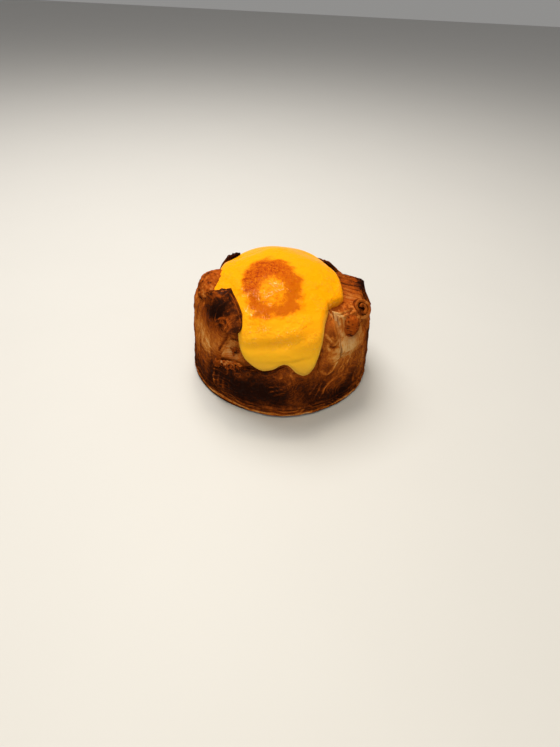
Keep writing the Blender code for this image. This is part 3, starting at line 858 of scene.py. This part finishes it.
def make_bun(name, centre, radii, bake, ruddy, lined):
    bm = bmesh.new()
    bmesh.ops.create_uvsphere(bm, u_segments=BUN_STEPS, v_segments=BUN_ROWS, radius=1.0)
    unit = points_of(bm)
    points = unit * np.array(radii) + np.array(centre)
    height = unit[:, 2] * radii[2]
    leaf = (1.2 * height + 3.0 * unit[:, 0] + 3.2 * lumps(points, 5.0, 1.0)) / BUN_PITCH
    blisters = 0.9 * lumps(points, 4.5, 8.0) + 0.5 * np.abs(lumps(points, 2.2, 3.0))
    blisters = (blisters + 0.2 * lumps(points, 1.1)) * min(min(radii) / FULL_BLISTERS, 1.0)
    points = points + unit * blisters[:, None]
    scorched = 0.20 * lumps(points, 4.0, 5.0, 2) + 0.44 * lumps(points, 1.4, 9.0)
    scorched = (scorched + 0.32 * lumps(points, 0.8, 2.0)) * (1 - 0.6 * lined)
    # the lump's underside is painted darker, as shade
    under = 0.2 * (1 - ease(unit[:, 2], -0.5, 0.1))
    dough_piece(
        name,
        bm,
        points,
        leaf=leaf,
        lined=lined,
        bake=bake + scorched + under,
        ruddy=np.clip(ruddy + 0.4 * lumps(points, 5.0, 2.0), 0, 1),
    )


for bun_sizes in BUNS:
    make_bun(*bun_sizes)


# ---------------------------------------------------------------- Flakes
# Splinters of the outermost leaves that cracked off along the torn edges and stuck where they
# fell, most of them along the ledge at the front left.

# azimuth and height of each band's two ends, its half width, how many flakes, how brown they are
# and how far out from the wall they lie
FLAKE_BANDS = (
    ((-41.6, 20.4), (-22.0, 24.2), 1.0, 130, 0.72, 1.9),
    ((-41.0, 22.4), (-24.0, 25.8), 0.7, 60, 0.36, 1.9),
    ((-30.0, 29.0), (-26.0, 33.0), 0.9, 14, 0.52, 1.7),
    ((-30.0, 42.5), (-25.5, 44.5), 0.6, 20, 0.95, 2.2),
    ((74, 31.0), (84, 34.0), 1.6, 20, 0.45, 0.4),
    ((132, 32.0), (166, 28.0), 2.0, 40, 0.45, 0.3),
    ((-160, 28.0), (-124, 32.0), 2.0, 40, 0.45, 0.3),
)
FLAKE_SIZES = (0.45, 1.1)
FLAKE_WIDTHS, FLAKE_HEIGHTS = (0.35, 0.8), (0.16, 0.32)  # as shares of the size
FLAKE_SEED = 11


def make_flakes():
    rng = np.random.default_rng(FLAKE_SEED)
    ball = bmesh.new()
    bmesh.ops.create_icosphere(ball, subdivisions=2, radius=1.0)
    unit = points_of(ball)
    flakes, places, bakes = [], [], []
    for (az_a, z_a), (az_b, z_b), half, count, bake, out in FLAKE_BANDS:
        for _ in range(count):
            t = rng.random()
            z = mix(z_a, z_b, t) + rng.normal() * half * 0.5
            az = mix(az_a, az_b, t) + rng.normal() * 1.2
            radius = wall_radius(az, min(z, WALL_TOP)) + out
            size = rng.uniform(*FLAKE_SIZES)
            shape = unit * (1 + 0.45 * lumps(unit, 1.1, len(flakes) * 2.1))[:, None]
            shape *= size * np.array((1, rng.uniform(*FLAKE_WIDTHS), rng.uniform(*FLAKE_HEIGHTS)))
            facing = Vector(polar(az, 1.0, 0.3).tolist()).to_track_quat("Z", "Y").to_matrix()
            facing = facing @ Matrix.Rotation(rng.uniform(0, math.tau), 3, "Z")
            facing = facing @ Matrix.Rotation(rng.normal() * 0.3, 3, "X")
            places.append(shape @ np.array(facing).T + polar(az, radius, z))
            flakes.append(ball.copy())
            bakes.append(np.full(len(unit), bake + rng.normal() * 0.16))
    ball.free()
    points = np.concatenate(places)
    dough_piece(
        "flakes",
        joined(flakes),
        points,
        leaf=points[:, 2],
        lined=0.1,
        bake=np.concatenate(bakes),
        ruddy=0.55,
    )


make_flakes()


# ---------------------------------------------------------------- Layered fold
# The edge of the folded dough at the right, cut across its leaves, so that they show as steps
# from the custard out to a dark corner.

STRATA_ENDS = (17.0, 37.3)  # distances to the right where the steps start and end
STRATA_TOP = (52.4, 49.2)  # their heights there
STRATA_FRONT, STRATA_BACK = -21.0, 6.0
STRATA_COLUMNS, STRATA_ROWS = 96, 76
TREAD_SHARE = 0.62  # share of the columns that lie on top; the others go down the outer side
STRATUM_PITCH = 2.7
STRATUM_RISE, STRATUM_FALL = 0.95, 0.80
STRATA_DROP = 12.0
STRATA_DEPTH = 5.0
STRATA_RADIUS = 43.4  # it stays within this distance from the axis


def make_strata():
    bm = sheet_pattern(STRATA_COLUMNS, STRATA_ROWS)
    u, v, w = points_of(bm).T
    y = mix(STRATA_FRONT, STRATA_BACK, v)
    top = np.minimum(u / TREAD_SHARE, 1.0)
    down = np.maximum((u - TREAD_SHARE) / (1 - TREAD_SHARE), 0.0)
    sample = np.column_stack([top * 6.65, y, down * 3.5])
    band = (y + 1.6 * top + 0.6 * lumps(sample, 3.0, 2.0)) / STRATUM_PITCH - 0.3
    number = np.floor(band)
    step = band - number
    jitter = np.array([noise.noise((n * 1.7, 0.5, 0.5)) for n in number.tolist()])
    end = STRATA_ENDS[1] + 1.2 * jitter - 0.35 * np.abs(number) - 9.0 * ease(y, 1.5, 4.5)
    x = mix(STRATA_ENDS[0], end, top) + 5.0 * down**1.3
    x = np.minimum(x, np.sqrt(STRATA_RADIUS**2 - y**2))
    tread = STRATUM_RISE * ease(step, 0.0, 0.30) - STRATUM_FALL * step + 0.5 * jitter
    z = mix(*STRATA_TOP, top) - 0.16 * np.abs(y) + tread
    z = z - STRATA_DROP * down - 0.8 * ease(top, 0.93, 1.0)
    z = z - 7.0 * (ease(-y, 18.6, 21.0) + ease(y, 3.5, 6.0))
    x, z = x - 4.0 * w * down, z - STRATA_DEPTH * w * (1 - down)
    points = np.column_stack([x, y - 0.9 * top, z])
    leaf = band * 3.0 + 0.5 * lumps(points, 4.0, 1.0)
    uneven = 0.4 * lumps(points, 4.0, 6.0) + 0.16 * lumps(points, 1.4, 2.0)
    uneven = (uneven - 0.12 * np.sin(leaf * math.tau)) * (w < 0.5)
    points = points + np.array((0.35, -0.2, 0.9)) * uneven[:, None]
    corner = ease(y + 3 * lumps(points, 4.0, 7.0), -11, -1)
    corner = corner * ease(top, 0.74, 0.97) * (1 - ease(down, 0.05, 0.6))
    # painted shade in the recess at the foot of each step
    recess_shade = ease(0.22 - step, 0.0, 0.2) * (1 - 0.5 * down)
    bake = 0.36 + 0.14 * ease(y, -14, -4) + 0.2 * ease(y, 1, 3) - 0.16 * bump(y + 14, 3.5)
    bake = bake + 0.44 * corner + 0.26 * recess_shade + 0.12 * lumps(points, 4.0, 3.0, 2)
    bake = bake + 0.12 * lumps(points * np.array((0.3, 1.6, 1.6)), 1.6, 8.0)
    dough_piece(
        "strata",
        bm,
        points,
        leaf=leaf,
        lined=0.8,
        bake=bake,
        ruddy=np.clip(0.65 + 0.5 * corner + 0.4 * lumps(points, 5.0, 1.0), 0, 1),
    )


make_strata()


# ---------------------------------------------------------------- Rolled knob
# The free end of the strip, wound on itself and left on top of the fold at the front right. Its
# end shows the spiral of the leaves.

ROLL_CENTRE = (34.0, -18.1, 44.6)
ROLL_FACING = (0.25, -0.80, 0.54)
ROLL_RADIUS = 4.4
ROLL_WIDTH, ROLL_HEIGHT = 0.88, 1.08  # it is squeezed a little
ROLL_DEPTH = 8.0
ROLL_TURNS = 1.9
ROLL_START = 0.3
ROLL_GAP = 0.12
ROLL_COLUMNS, ROLL_ROWS = 150, 30


def make_roll():
    axis = Vector(ROLL_FACING).normalized()
    side = axis.cross(Vector((0, 0, 1))).normalized()
    up = np.array(side.cross(axis)) * ROLL_HEIGHT
    axis, side = np.array(axis), np.array(side) * ROLL_WIDTH
    pitch = ROLL_RADIUS / (ROLL_TURNS + 0.5)
    bm = sheet_pattern(ROLL_COLUMNS, ROLL_ROWS)
    u, v, w = points_of(bm).T
    a = math.tau * ROLL_TURNS * u + ROLL_START
    spoke = side * np.cos(a)[:, None] + up * np.sin(a)[:, None]
    # the strip is thinner towards its two edges
    rounded = 0.66 + 0.34 * np.sin(math.pi * mix(0.13, 0.87, v))
    half = (pitch - ROLL_GAP) / 2 * rounded * (1 - 2 * w)
    sample = np.column_stack([u * 22, v * 9, w * 0])
    waver = 0.8 * lumps(sample, 5.0, 4.0) + 0.3 * lumps(sample, 2.0, 1.0)
    depth = ROLL_DEPTH * (v - 0.5) + 2.0 * v * (1 - u) + waver
    reach = pitch * (0.5 + ROLL_TURNS * u) * (1 + 0.10 * np.sin(2 * a + 0.6)) + half + 0.3 * waver
    points = np.array(ROLL_CENTRE) + spoke * reach[:, None] + axis * depth[:, None]
    leaf = v * 5.0 + w * 2.0 + 0.6 * lumps(points, 3.0)
    points = points + spoke * (0.14 * lumps(points, 2.0, 3.0) * (1 - 2 * w))[:, None]
    rim = ease(v, 0.75, 1.0)
    bake = 0.42 + 0.22 * lumps(points, 3.5, 6.0) + 0.15 * lumps(points, 1.5, 2.0) - 0.1 * rim
    bake = bake + 0.22 * (1 - rim) * ease(v, 0.3, 0.7)
    bake = bake + 0.10 * ease(0.62 - u, 0, 0.25) - 0.12 * ease(u, 0.66, 0.9)
    dough_piece(
        "roll",
        bm,
        points,
        leaf=leaf,
        lined=0.6,
        bake=bake,
        ruddy=np.clip(0.35 + 0.4 * lumps(points, 4.0, 2.0), 0, 1),
    )


make_roll()


# ---------------------------------------------------------------- Custard
# Egg custard poured over the crown while warm. It stands in a dome, has run down the front in two
# lobes, and its skin is torched in a ring over the chestnut.

POUR_DEPTH = 4.2
RUN_DEPTH = 3.3
RUN_START = (32, 46)  # lengths along the skin over which the dome passes into the run
POUR_EDGE = 3.6  # how far in from the margin it is rounded
POUR_ROOT = 1.3  # how far its underside reaches into the dough
# bumps (+) and hollows (-) of the dome: x, y, radius and height
MOUNDS = (
    (-6.0, -19.0, 9.0, 1.2),
    (-7.5, 9.0, 6.0, 0.8),
    (8.0, 16.0, 14.0, -2.0),
    (-20.0, 14.0, 10.0, -1.6),
    (-12.0, 29.0, 10.0, -0.7),
    (1.0, 30.0, 9.0, -0.9),
    (11.0, 21.0, 8.0, -1.0),
)
# azimuths and how far the custard reaches there from the axis, along the surface
POUR_MARGIN = (
    (-180, 31.0), (-165, 33.5), (-150, 36.5), (-138, 36.5), (-125, 34.0), (-110, 31.5),
    (-97, 30.6), (-82, 30.9), (-73, 34.4), (-68, 38.6), (-62, 38.4), (-55, 38.6), (-48, 39.0),
    (-38, 39.2), (-30, 39.4), (-27.2, 40.6), (-26.5, 43.5), (-26.2, 46.6), (-25, 50.0),
    (-23.4, 53.6), (-20.5, 56.6), (-17, 58.6), (-12, 60.7), (-8, 61.1), (-4, 59.9), (0, 57.6),
    (3, 56.3), (6, 57.6), (9.5, 61.2), (13.5, 62.9), (17, 61.9), (19.2, 60.0), (21.4, 56.2),
    (22.6, 52.2), (24, 47.2), (25.6, 43.9), (28, 40.7), (31, 38.5), (34, 36.5), (38, 34.4),
    (42, 33.4), (48, 34.0), (55, 33.6), (61, 31.2), (70, 28.2), (84, 25.4), (100, 22.6),
    (115, 22.4), (130, 25.6), (150, 29.6), (165, 31.0),
)
MARGIN_BLUR = ((-1.6, 0.11), (-0.8, 0.22), (0.0, 0.34), (0.8, 0.22), (1.6, 0.11))
# soft folds of the run: azimuth, length along the skin, half width in degrees, half length, slant
# and height
TONGUE_FOLDS = (
    (-4, 47.3, 17, 1.3, -0.15, -1.0),
    (-4, 44.2, 17, 1.9, -0.13, 0.8),
    (-6, 51.0, 18, 2.2, -0.08, 0.6),
    (5, 54.2, 11, 1.3, -0.14, -0.8),
    (5, 52.0, 11, 1.4, -0.14, 0.5),
    (14, 45.5, 6, 1.8, 0.0, 0.5),
    (-12, 40.0, 8, 1.4, 0.05, 0.4),
    (12, 55.5, 8, 2.4, 0.04, -0.4),
    (-11, 56.5, 7, 1.6, 0.0, -0.4),
)
POUR_STEPS, POUR_ROWS = 640, 96
OUTLINE_STEPS = 9000
POUR_CENTRE = (0.0, -14.0)  # the custard's rows of points fan out from here
SPINE_FOOT = 46.0  # and from a line down to here at the front
MARGIN_ROWS = 0.1  # share of the rows that pass under the margin
ROW_CROWDING = 1.5
SKIN_SOFTNESS = 2.4  # how far the custard rounds off what is under it
SKIN_SPACING = 0.25
# the flap that holds the custard back at its left: azimuth where its top starts to lean in, how
# many degrees it takes, height where that starts, how far up it goes, and how far it leans
FLAP_TURN, FLAP_SPAN = -53, 9
FLAP_FOOT, FLAP_TALL, FLAP_LEAN = 36, 17.5, 8.5
FLAP_GAP = 0.4


def pour_reach(az):
    """How far the custard reaches from the axis along the surface."""
    stops, reach = np.array(POUR_MARGIN).T
    return sum(share * np.interp(az + off, stops, reach, period=360) for off, share in MARGIN_BLUR)


def pour_outline(count):
    """Evenly spaced points of the custard's margin in a flat chart, where an azimuth is an angle
    and a length along the skin is a radius."""
    az = np.linspace(-180, 180, OUTLINE_STEPS + 1)[:-1]
    reach = pour_reach(az)
    chart = np.column_stack([reach * np.sin(np.radians(az)), -reach * np.cos(np.radians(az))])
    waver = [lumps(np.column_stack([chart, az * 0 + k]), 5.0, k) for k in (1.0, 9.0)]
    chart += 0.28 * np.column_stack(waver)
    steps = np.hypot(*(np.roll(chart, -1, axis=0) - chart).T)
    along = np.concatenate([[0], np.cumsum(steps)])
    closed = np.vstack([chart, chart[:1]])
    wanted = np.linspace(0, along[-1], count + 1)
    return np.column_stack([np.interp(wanted, along, closed[:, i]) for i in range(2)])


def soft_profile():
    """The drum's half section from the axis outwards, rounded off: length along it, radius, height
    and direction outwards."""
    rows = drum_profile(DRUM_SPACING)[::-1, :2]
    along = np.concatenate([[0], np.cumsum(np.hypot(*np.diff(rows, axis=0).T))])
    even = np.arange(0, along[-1], SKIN_SPACING)
    radius, z = (np.interp(even, along, rows[:, i]) for i in range(2))
    reach = int(SKIN_SOFTNESS * 3 / SKIN_SPACING)
    beside = np.arange(-reach, reach + 1) * SKIN_SPACING
    kernel = bump(beside, SKIN_SOFTNESS * math.sqrt(2))
    kernel /= kernel.sum()
    radius = np.concatenate([-radius[reach:0:-1], radius, np.full(reach, radius[-1])])
    z = np.concatenate([z[reach:0:-1], z, z[-1] - SKIN_SPACING * np.arange(1, reach + 1)])
    radius, z = np.convolve(radius, kernel, "valid"), np.convolve(z, kernel, "valid")
    slope_r, slope_z = np.gradient(radius), np.gradient(z)
    size = np.hypot(slope_r, slope_z)
    return even, radius, z, -slope_z / size, slope_r / size


def skin(az, run):
    """Points of the drum this far from the axis along its surface, and its outward directions."""
    even, *columns = soft_profile()
    radius, z, out_r, out_z = (np.interp(run, even, column) for column in columns)
    radius = radius + out_of_cone(az, radius, z)
    return polar(az, radius, crown_height(az, radius, z)), polar(az, out_r, out_z)


def pour_depth(az, run, inside, sample):
    """Depth of the custard at points that are this far inside its margin."""
    depth = mix(POUR_DEPTH, RUN_DEPTH, ease(run, *RUN_START))
    bead = 0.8 * bump(inside - 5, 4) * ease(run, 40, 50)
    phase = run * 0.55 + 0.8 * np.sin(np.radians(az * 3)) + 0.8 * lumps(sample, 9.0, 2.0)
    ripple = 0.16 * np.sin(phase) * ease(run, 36, 44)
    for a, length, wide, half, slant, height in TONGUE_FOLDS:
        off = turn(az, a)
        ripple = ripple + height * bump(off, wide) * bump(run - length - slant * off, half)
    ripple = ripple * ease(inside, 1, 6)
    edge = np.clip(inside / POUR_EDGE, 0.0, 1.0)
    return (depth + bead + ripple) * np.sqrt(1 - (1 - edge) ** 2)


def behind_flap(points):
    """Draws in the points that would stick out through the flap."""
    az, z, radius = azimuth(points), points[:, 2], np.hypot(points[:, 0], points[:, 1])
    lean = FLAP_LEAN * np.clip((az - FLAP_TURN) / FLAP_SPAN, 0, 1)
    lean = lean * np.clip((z - FLAP_FOOT) / FLAP_TALL, 0, 1) ** 2
    limit = wall_radius(az, np.minimum(z, WALL_TOP)) - lean - FLAP_GAP
    near = (az > -60) & (az < -33) & (z > 38) & (radius > limit)
    squeeze = np.where(near, limit / np.maximum(radius, 1e-6), 1.0)
    return points * np.column_stack([squeeze, squeeze, np.ones_like(z)])


# colours of the yolk, as linear RGB
# painted glow: the paler yolk where light shines through the thin margin
EDGE_GLOW_YOLK = (0.95, 0.56, 0.09)
PALE_YOLK = (0.93, 0.50, 0.02)
# painted shade: the darker yolk low on the run, where less light falls
FOOT_SHADE_YOLK = (0.44, 0.235, 0.04)
# and of its skin, from plain to burnt
TOAST_STAGES = (
    (0.0, (0.86, 0.302, 0.0010)),
    (0.28, (0.76, 0.220, 0.0010)),
    (0.52, (0.50, 0.114, 0.0005)),
    (0.76, (0.45, 0.074, 0.0005)),
    (1.0, (0.24, 0.022, 0.0005)),
)
# the torched ring and its paler middle, in x and y
RING_CENTRE, RING_SIZE = (-5.4, -21.0), (15.0, 18.5)
RING_SLANT = 0.12
MIDDLE, MIDDLE_SIZE = (-4.7, -25.0), (7.5, 8.0)
CUSTARD_BUMP = 0.5  # depth of what is too fine for the mesh


def custard_material():
    material, shader, link = new_material("egg_custard")
    place = link.add("TexCoord", output="Object")
    x, y, z = (
        link.add("SeparateXYZ", inputs={0: place}, output=axis) * (1 / MM) for axis in range(3)
    )
    blur = link.noise(7.0, 4.0, 0.6)
    fleck = link.noise(1.6, 4.0, 0.68)
    grain = link.noise(0.55, 2.0, 0.6)
    # distances from the middle of the ring and of its paler middle, 1 at their rims
    back = y - RING_CENTRE[1]
    ring_x = (x - RING_CENTRE[0] + back * RING_SLANT) / RING_SIZE[0]
    ring_y = back / RING_SIZE[1]
    far = (ring_x * ring_x + ring_y * ring_y) ** 0.5 + (blur - 0.5) * 0.8
    middle_x = (x - MIDDLE[0]) / MIDDLE_SIZE[0]
    middle_y = (y - MIDDLE[1]) / MIDDLE_SIZE[1]
    near = (middle_x * middle_x + middle_y * middle_y) ** 0.5 + (blur - 0.5) * 0.6
    ring = near.rise(0.55, 1.10) * (1.0 - far.rise(0.74, 1.06))
    middle = 1.0 - near.rise(0.6, 1.1)
    # the flame held longest at the back left
    upper = (ring_y * 0.55 - ring_x * 0.35 + 0.5).rise(0.0, 1.0)
    scorch = near.rise(0.95, 1.25) * (1.0 - far.rise(0.62, 0.90)) * upper
    speckled = (fleck - 0.5) * 1.6 + (grain - 0.5) * 1.2
    toast = ring * (upper * 0.14 + 0.58 + speckled * (upper * 0.75 + 0.25))
    toast = toast + middle * (speckled * 0.6 + 0.22) + scorch * 0.07
    colour = link.add("ValToRGB", {"stops": TOAST_STAGES}, {"Fac": toast})
    # the run is paler than the dome, with painted shade at its foot and a painted glow at its thin
    # margin
    paling = (1.0 - z.rise(30.0, 54.0)) * 0.9 * (1.0 - toast.rise(0.05, 0.3))
    colour = link.blend(paling, colour, (*PALE_YOLK, 1))
    colour = link.blend((1.0 - z.rise(22.0, 36.0)) * 0.8, colour, (*FOOT_SHADE_YOLK, 1))
    colour = link.blend(link.attribute("thin") * 0.5, colour, (*EDGE_GLOW_YOLK, 1))
    connect(colour, shader["Base Color"])
    connect(0.38 + (fleck - 0.5) * 0.2 + toast.rise(0.1, 0.8) * 0.12, shader["Roughness"])
    # small wet dots, most of them where the skin is wrinkled
    wrinkled = link.noise(5.0, 2.0).rise(0.42, 0.60) * z.rise(36.0, 41.0)
    wrinkled = wrinkled * (1.0 - 0.5 * z.rise(54.0, 58.0))
    dots = link.noise(0.7, 3.0, 0.7).rise(0.58, 0.64)
    connect(dots * wrinkled * (1.0 - toast.rise(0.30, 0.60) * 0.75), shader["Coat Weight"])
    for key, value in {
        "Coat Roughness": 0.08,
        "Coat IOR": 1.9,
        "Specular IOR Level": 0.015,
        "Subsurface Weight": 0.12,
        "Subsurface Radius": (1.0, 0.40, 0.05),
        "Subsurface Scale": 1.5 * MM,
    }.items():
        shader[key].default_value = value
    bubbles = (1.0 - link.cells(1.1).rise(0.05, 0.42)) * link.noise(5.0, 2.0, 0.5).rise(0.52, 0.66)
    rough_grain = toast.rise(0.1, 0.6) * 0.25 + 0.08 + wrinkled * 1.5
    height = blur * 0.6 + fleck * (0.5 + wrinkled * 0.6) + grain * rough_grain + bubbles * 0.45
    connect(link.bump(height, 0.5, CUSTARD_BUMP * MM), shader["Normal"])
    return material


def make_custard():
    bm = bmesh.new()
    bmesh.ops.create_grid(bm, x_segments=POUR_STEPS, y_segments=POUR_ROWS, size=0.5)
    bmesh.ops.translate(bm, vec=(0.5, 0.5, 0), verts=bm.verts)
    u, t, _ = points_of(bm).T
    outline = pour_outline(POUR_STEPS)
    margin = outline[np.rint(u * POUR_STEPS).astype(int)]
    # rows run from the middle to the margin, and the last of them back in under it
    over = t <= 1 - MARGIN_ROWS + 1e-6
    upper = 1 - (1 - t / (1 - MARGIN_ROWS)) ** ROW_CROWDING
    share = np.clip(np.where(over, upper, (1 - t) / MARGIN_ROWS), 0, 1)[:, None]
    spine = np.column_stack([margin[:, 0] * 0, np.clip(margin[:, 1] * 0.9, -SPINE_FOOT, 0)])
    elbow = mix(spine, margin, 0.35)
    chart = (1 - share) ** 2 * np.array(POUR_CENTRE) + 2 * share * (1 - share) * elbow
    chart = chart + share**2 * margin
    tree = kdtree.KDTree(len(outline))
    for i, (x, y) in enumerate(outline.tolist()):
        tree.insert((x, y, 0), i)
    tree.balance()
    inside = np.array([tree.find((x, y, 0))[2] for x, y in chart.tolist()])
    az, run = np.degrees(np.arctan2(chart[:, 0], -chart[:, 1])), np.hypot(*chart.T)
    point, out = skin(az, run)
    top = point + out * pour_depth(az, run, inside, point)[:, None]
    for x, y, radius, height in MOUNDS:
        top[:, 2] += height * bump(np.hypot(top[:, 0] - x, top[:, 1] - y), radius)
    waves = 0.30 * lumps(top, 9.0, 5.0) + 0.10 * lumps(top, 3.2, 1.0)
    top += out * (waves * ease(inside, 0, 5))[:, None]
    under = point - out * np.minimum(inside, POUR_ROOT)[:, None]
    points = behind_flap(np.where(over[:, None], top, under))
    thin = np.where(over, bump(inside - 0.6, 0.9), 1.0) * ease(run, 30, 44)
    custard = dress("custard_pour", bm, points, egg_custard, {"thin": thin})
    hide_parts("custard")


egg_custard = custard_material()
make_custard()


# ---------------------------------------------------------------- Studio
# A plain pale floor under one large soft light overhead, a fainter one from the front, and two
# small ones whose glints show on the custard.

FLOOR_SIZE = 1.6
FLOOR_COLOUR = (0.56, 0.55, 0.535)
FLOOR_SHADE = 0.97
# name, place, target, size, energy and colour
LIGHTS = (
    ("overhead", (-0.14, 0.20, 0.61), (0, 0, 0.03), 0.40, 4.6, (1.0, 0.965, 0.91)),
    ("front_glint", (0.03, -0.30, 0.58), (0, -0.02, 0.04), 0.10, 1.2, (1.0, 0.90, 0.66)),
    ("back_glint", (-0.02, 0.16, 0.64), (0, -0.02, 0.04), 0.06, 0.4, (1.0, 0.88, 0.62)),
    ("front_fill", (-0.15, -0.62, 0.50), (0, 0, 0.03), 0.5, 1.4, (1.0, 0.97, 0.93)),
)
ROOM_COLOUR, ROOM_STRENGTH = (1.0, 0.985, 0.96), 0.28
FOCAL, LONG_SIDE = 562.0, 747  # focal length and the frame's long side, in pixels
SENSOR = 36.0
TILT, ROLL_RIGHT = math.radians(38.16), math.radians(2.97)
EYE = Vector((0.0004, -0.2362, 0.1763))


def make_floor():
    bm = bmesh.new()
    bmesh.ops.create_grid(bm, x_segments=8, y_segments=8, size=FLOOR_SIZE)
    mesh = bpy.data.meshes.new("floor")
    bm.to_mesh(mesh)
    bm.free()
    material, shader, link = new_material("pale_floor")
    shaded = (*(c * FLOOR_SHADE for c in FLOOR_COLOUR), 1)
    connect(link.blend(link.noise(60.0, 3.0), (*FLOOR_COLOUR, 1), shaded), shader["Base Color"])
    shader["Roughness"].default_value = 0.6
    mesh.materials.append(material)
    floor = bpy.data.objects.new("floor", mesh)
    bpy.context.scene.collection.objects.link(floor)


def area_light(name, place, target, size, energy, colour):
    light = bpy.data.lights.new(name, "AREA")
    light.size = size
    light.energy = energy
    light.color = colour
    lamp = bpy.data.objects.new(name, light)
    lamp.location = place
    aim = Vector(target) - Vector(place)
    lamp.rotation_euler = aim.to_track_quat("-Z", "Y").to_euler()
    bpy.context.scene.collection.objects.link(lamp)


make_floor()
for light_sizes in LIGHTS:
    area_light(*light_sizes)

world = bpy.data.worlds.new("studio")
world.use_nodes = True
background = world.node_tree.nodes["Background"].inputs
background["Color"].default_value = (*ROOM_COLOUR, 1)
background["Strength"].default_value = ROOM_STRENGTH
bpy.context.scene.world = world

level = Vector((1, 0, 0))
ahead = Vector((0, math.cos(TILT), -math.sin(TILT)))
above = Vector((0, math.sin(TILT), math.cos(TILT)))
right = level * math.cos(ROLL_RIGHT) + above * math.sin(ROLL_RIGHT)
upward = above * math.cos(ROLL_RIGHT) - level * math.sin(ROLL_RIGHT)
camera = bpy.data.objects.new("camera", bpy.data.cameras.new("camera"))
camera.data.sensor_width = SENSOR
camera.data.lens = SENSOR * FOCAL / LONG_SIDE
camera.data.clip_start = 0.01
turned = Matrix((right, upward, -ahead)).transposed().to_4x4()
turned.translation = EYE
camera.matrix_world = turned
bpy.context.scene.collection.objects.link(camera)
bpy.context.scene.camera = camera
bpy.context.scene.view_settings.view_transform = "Standard"
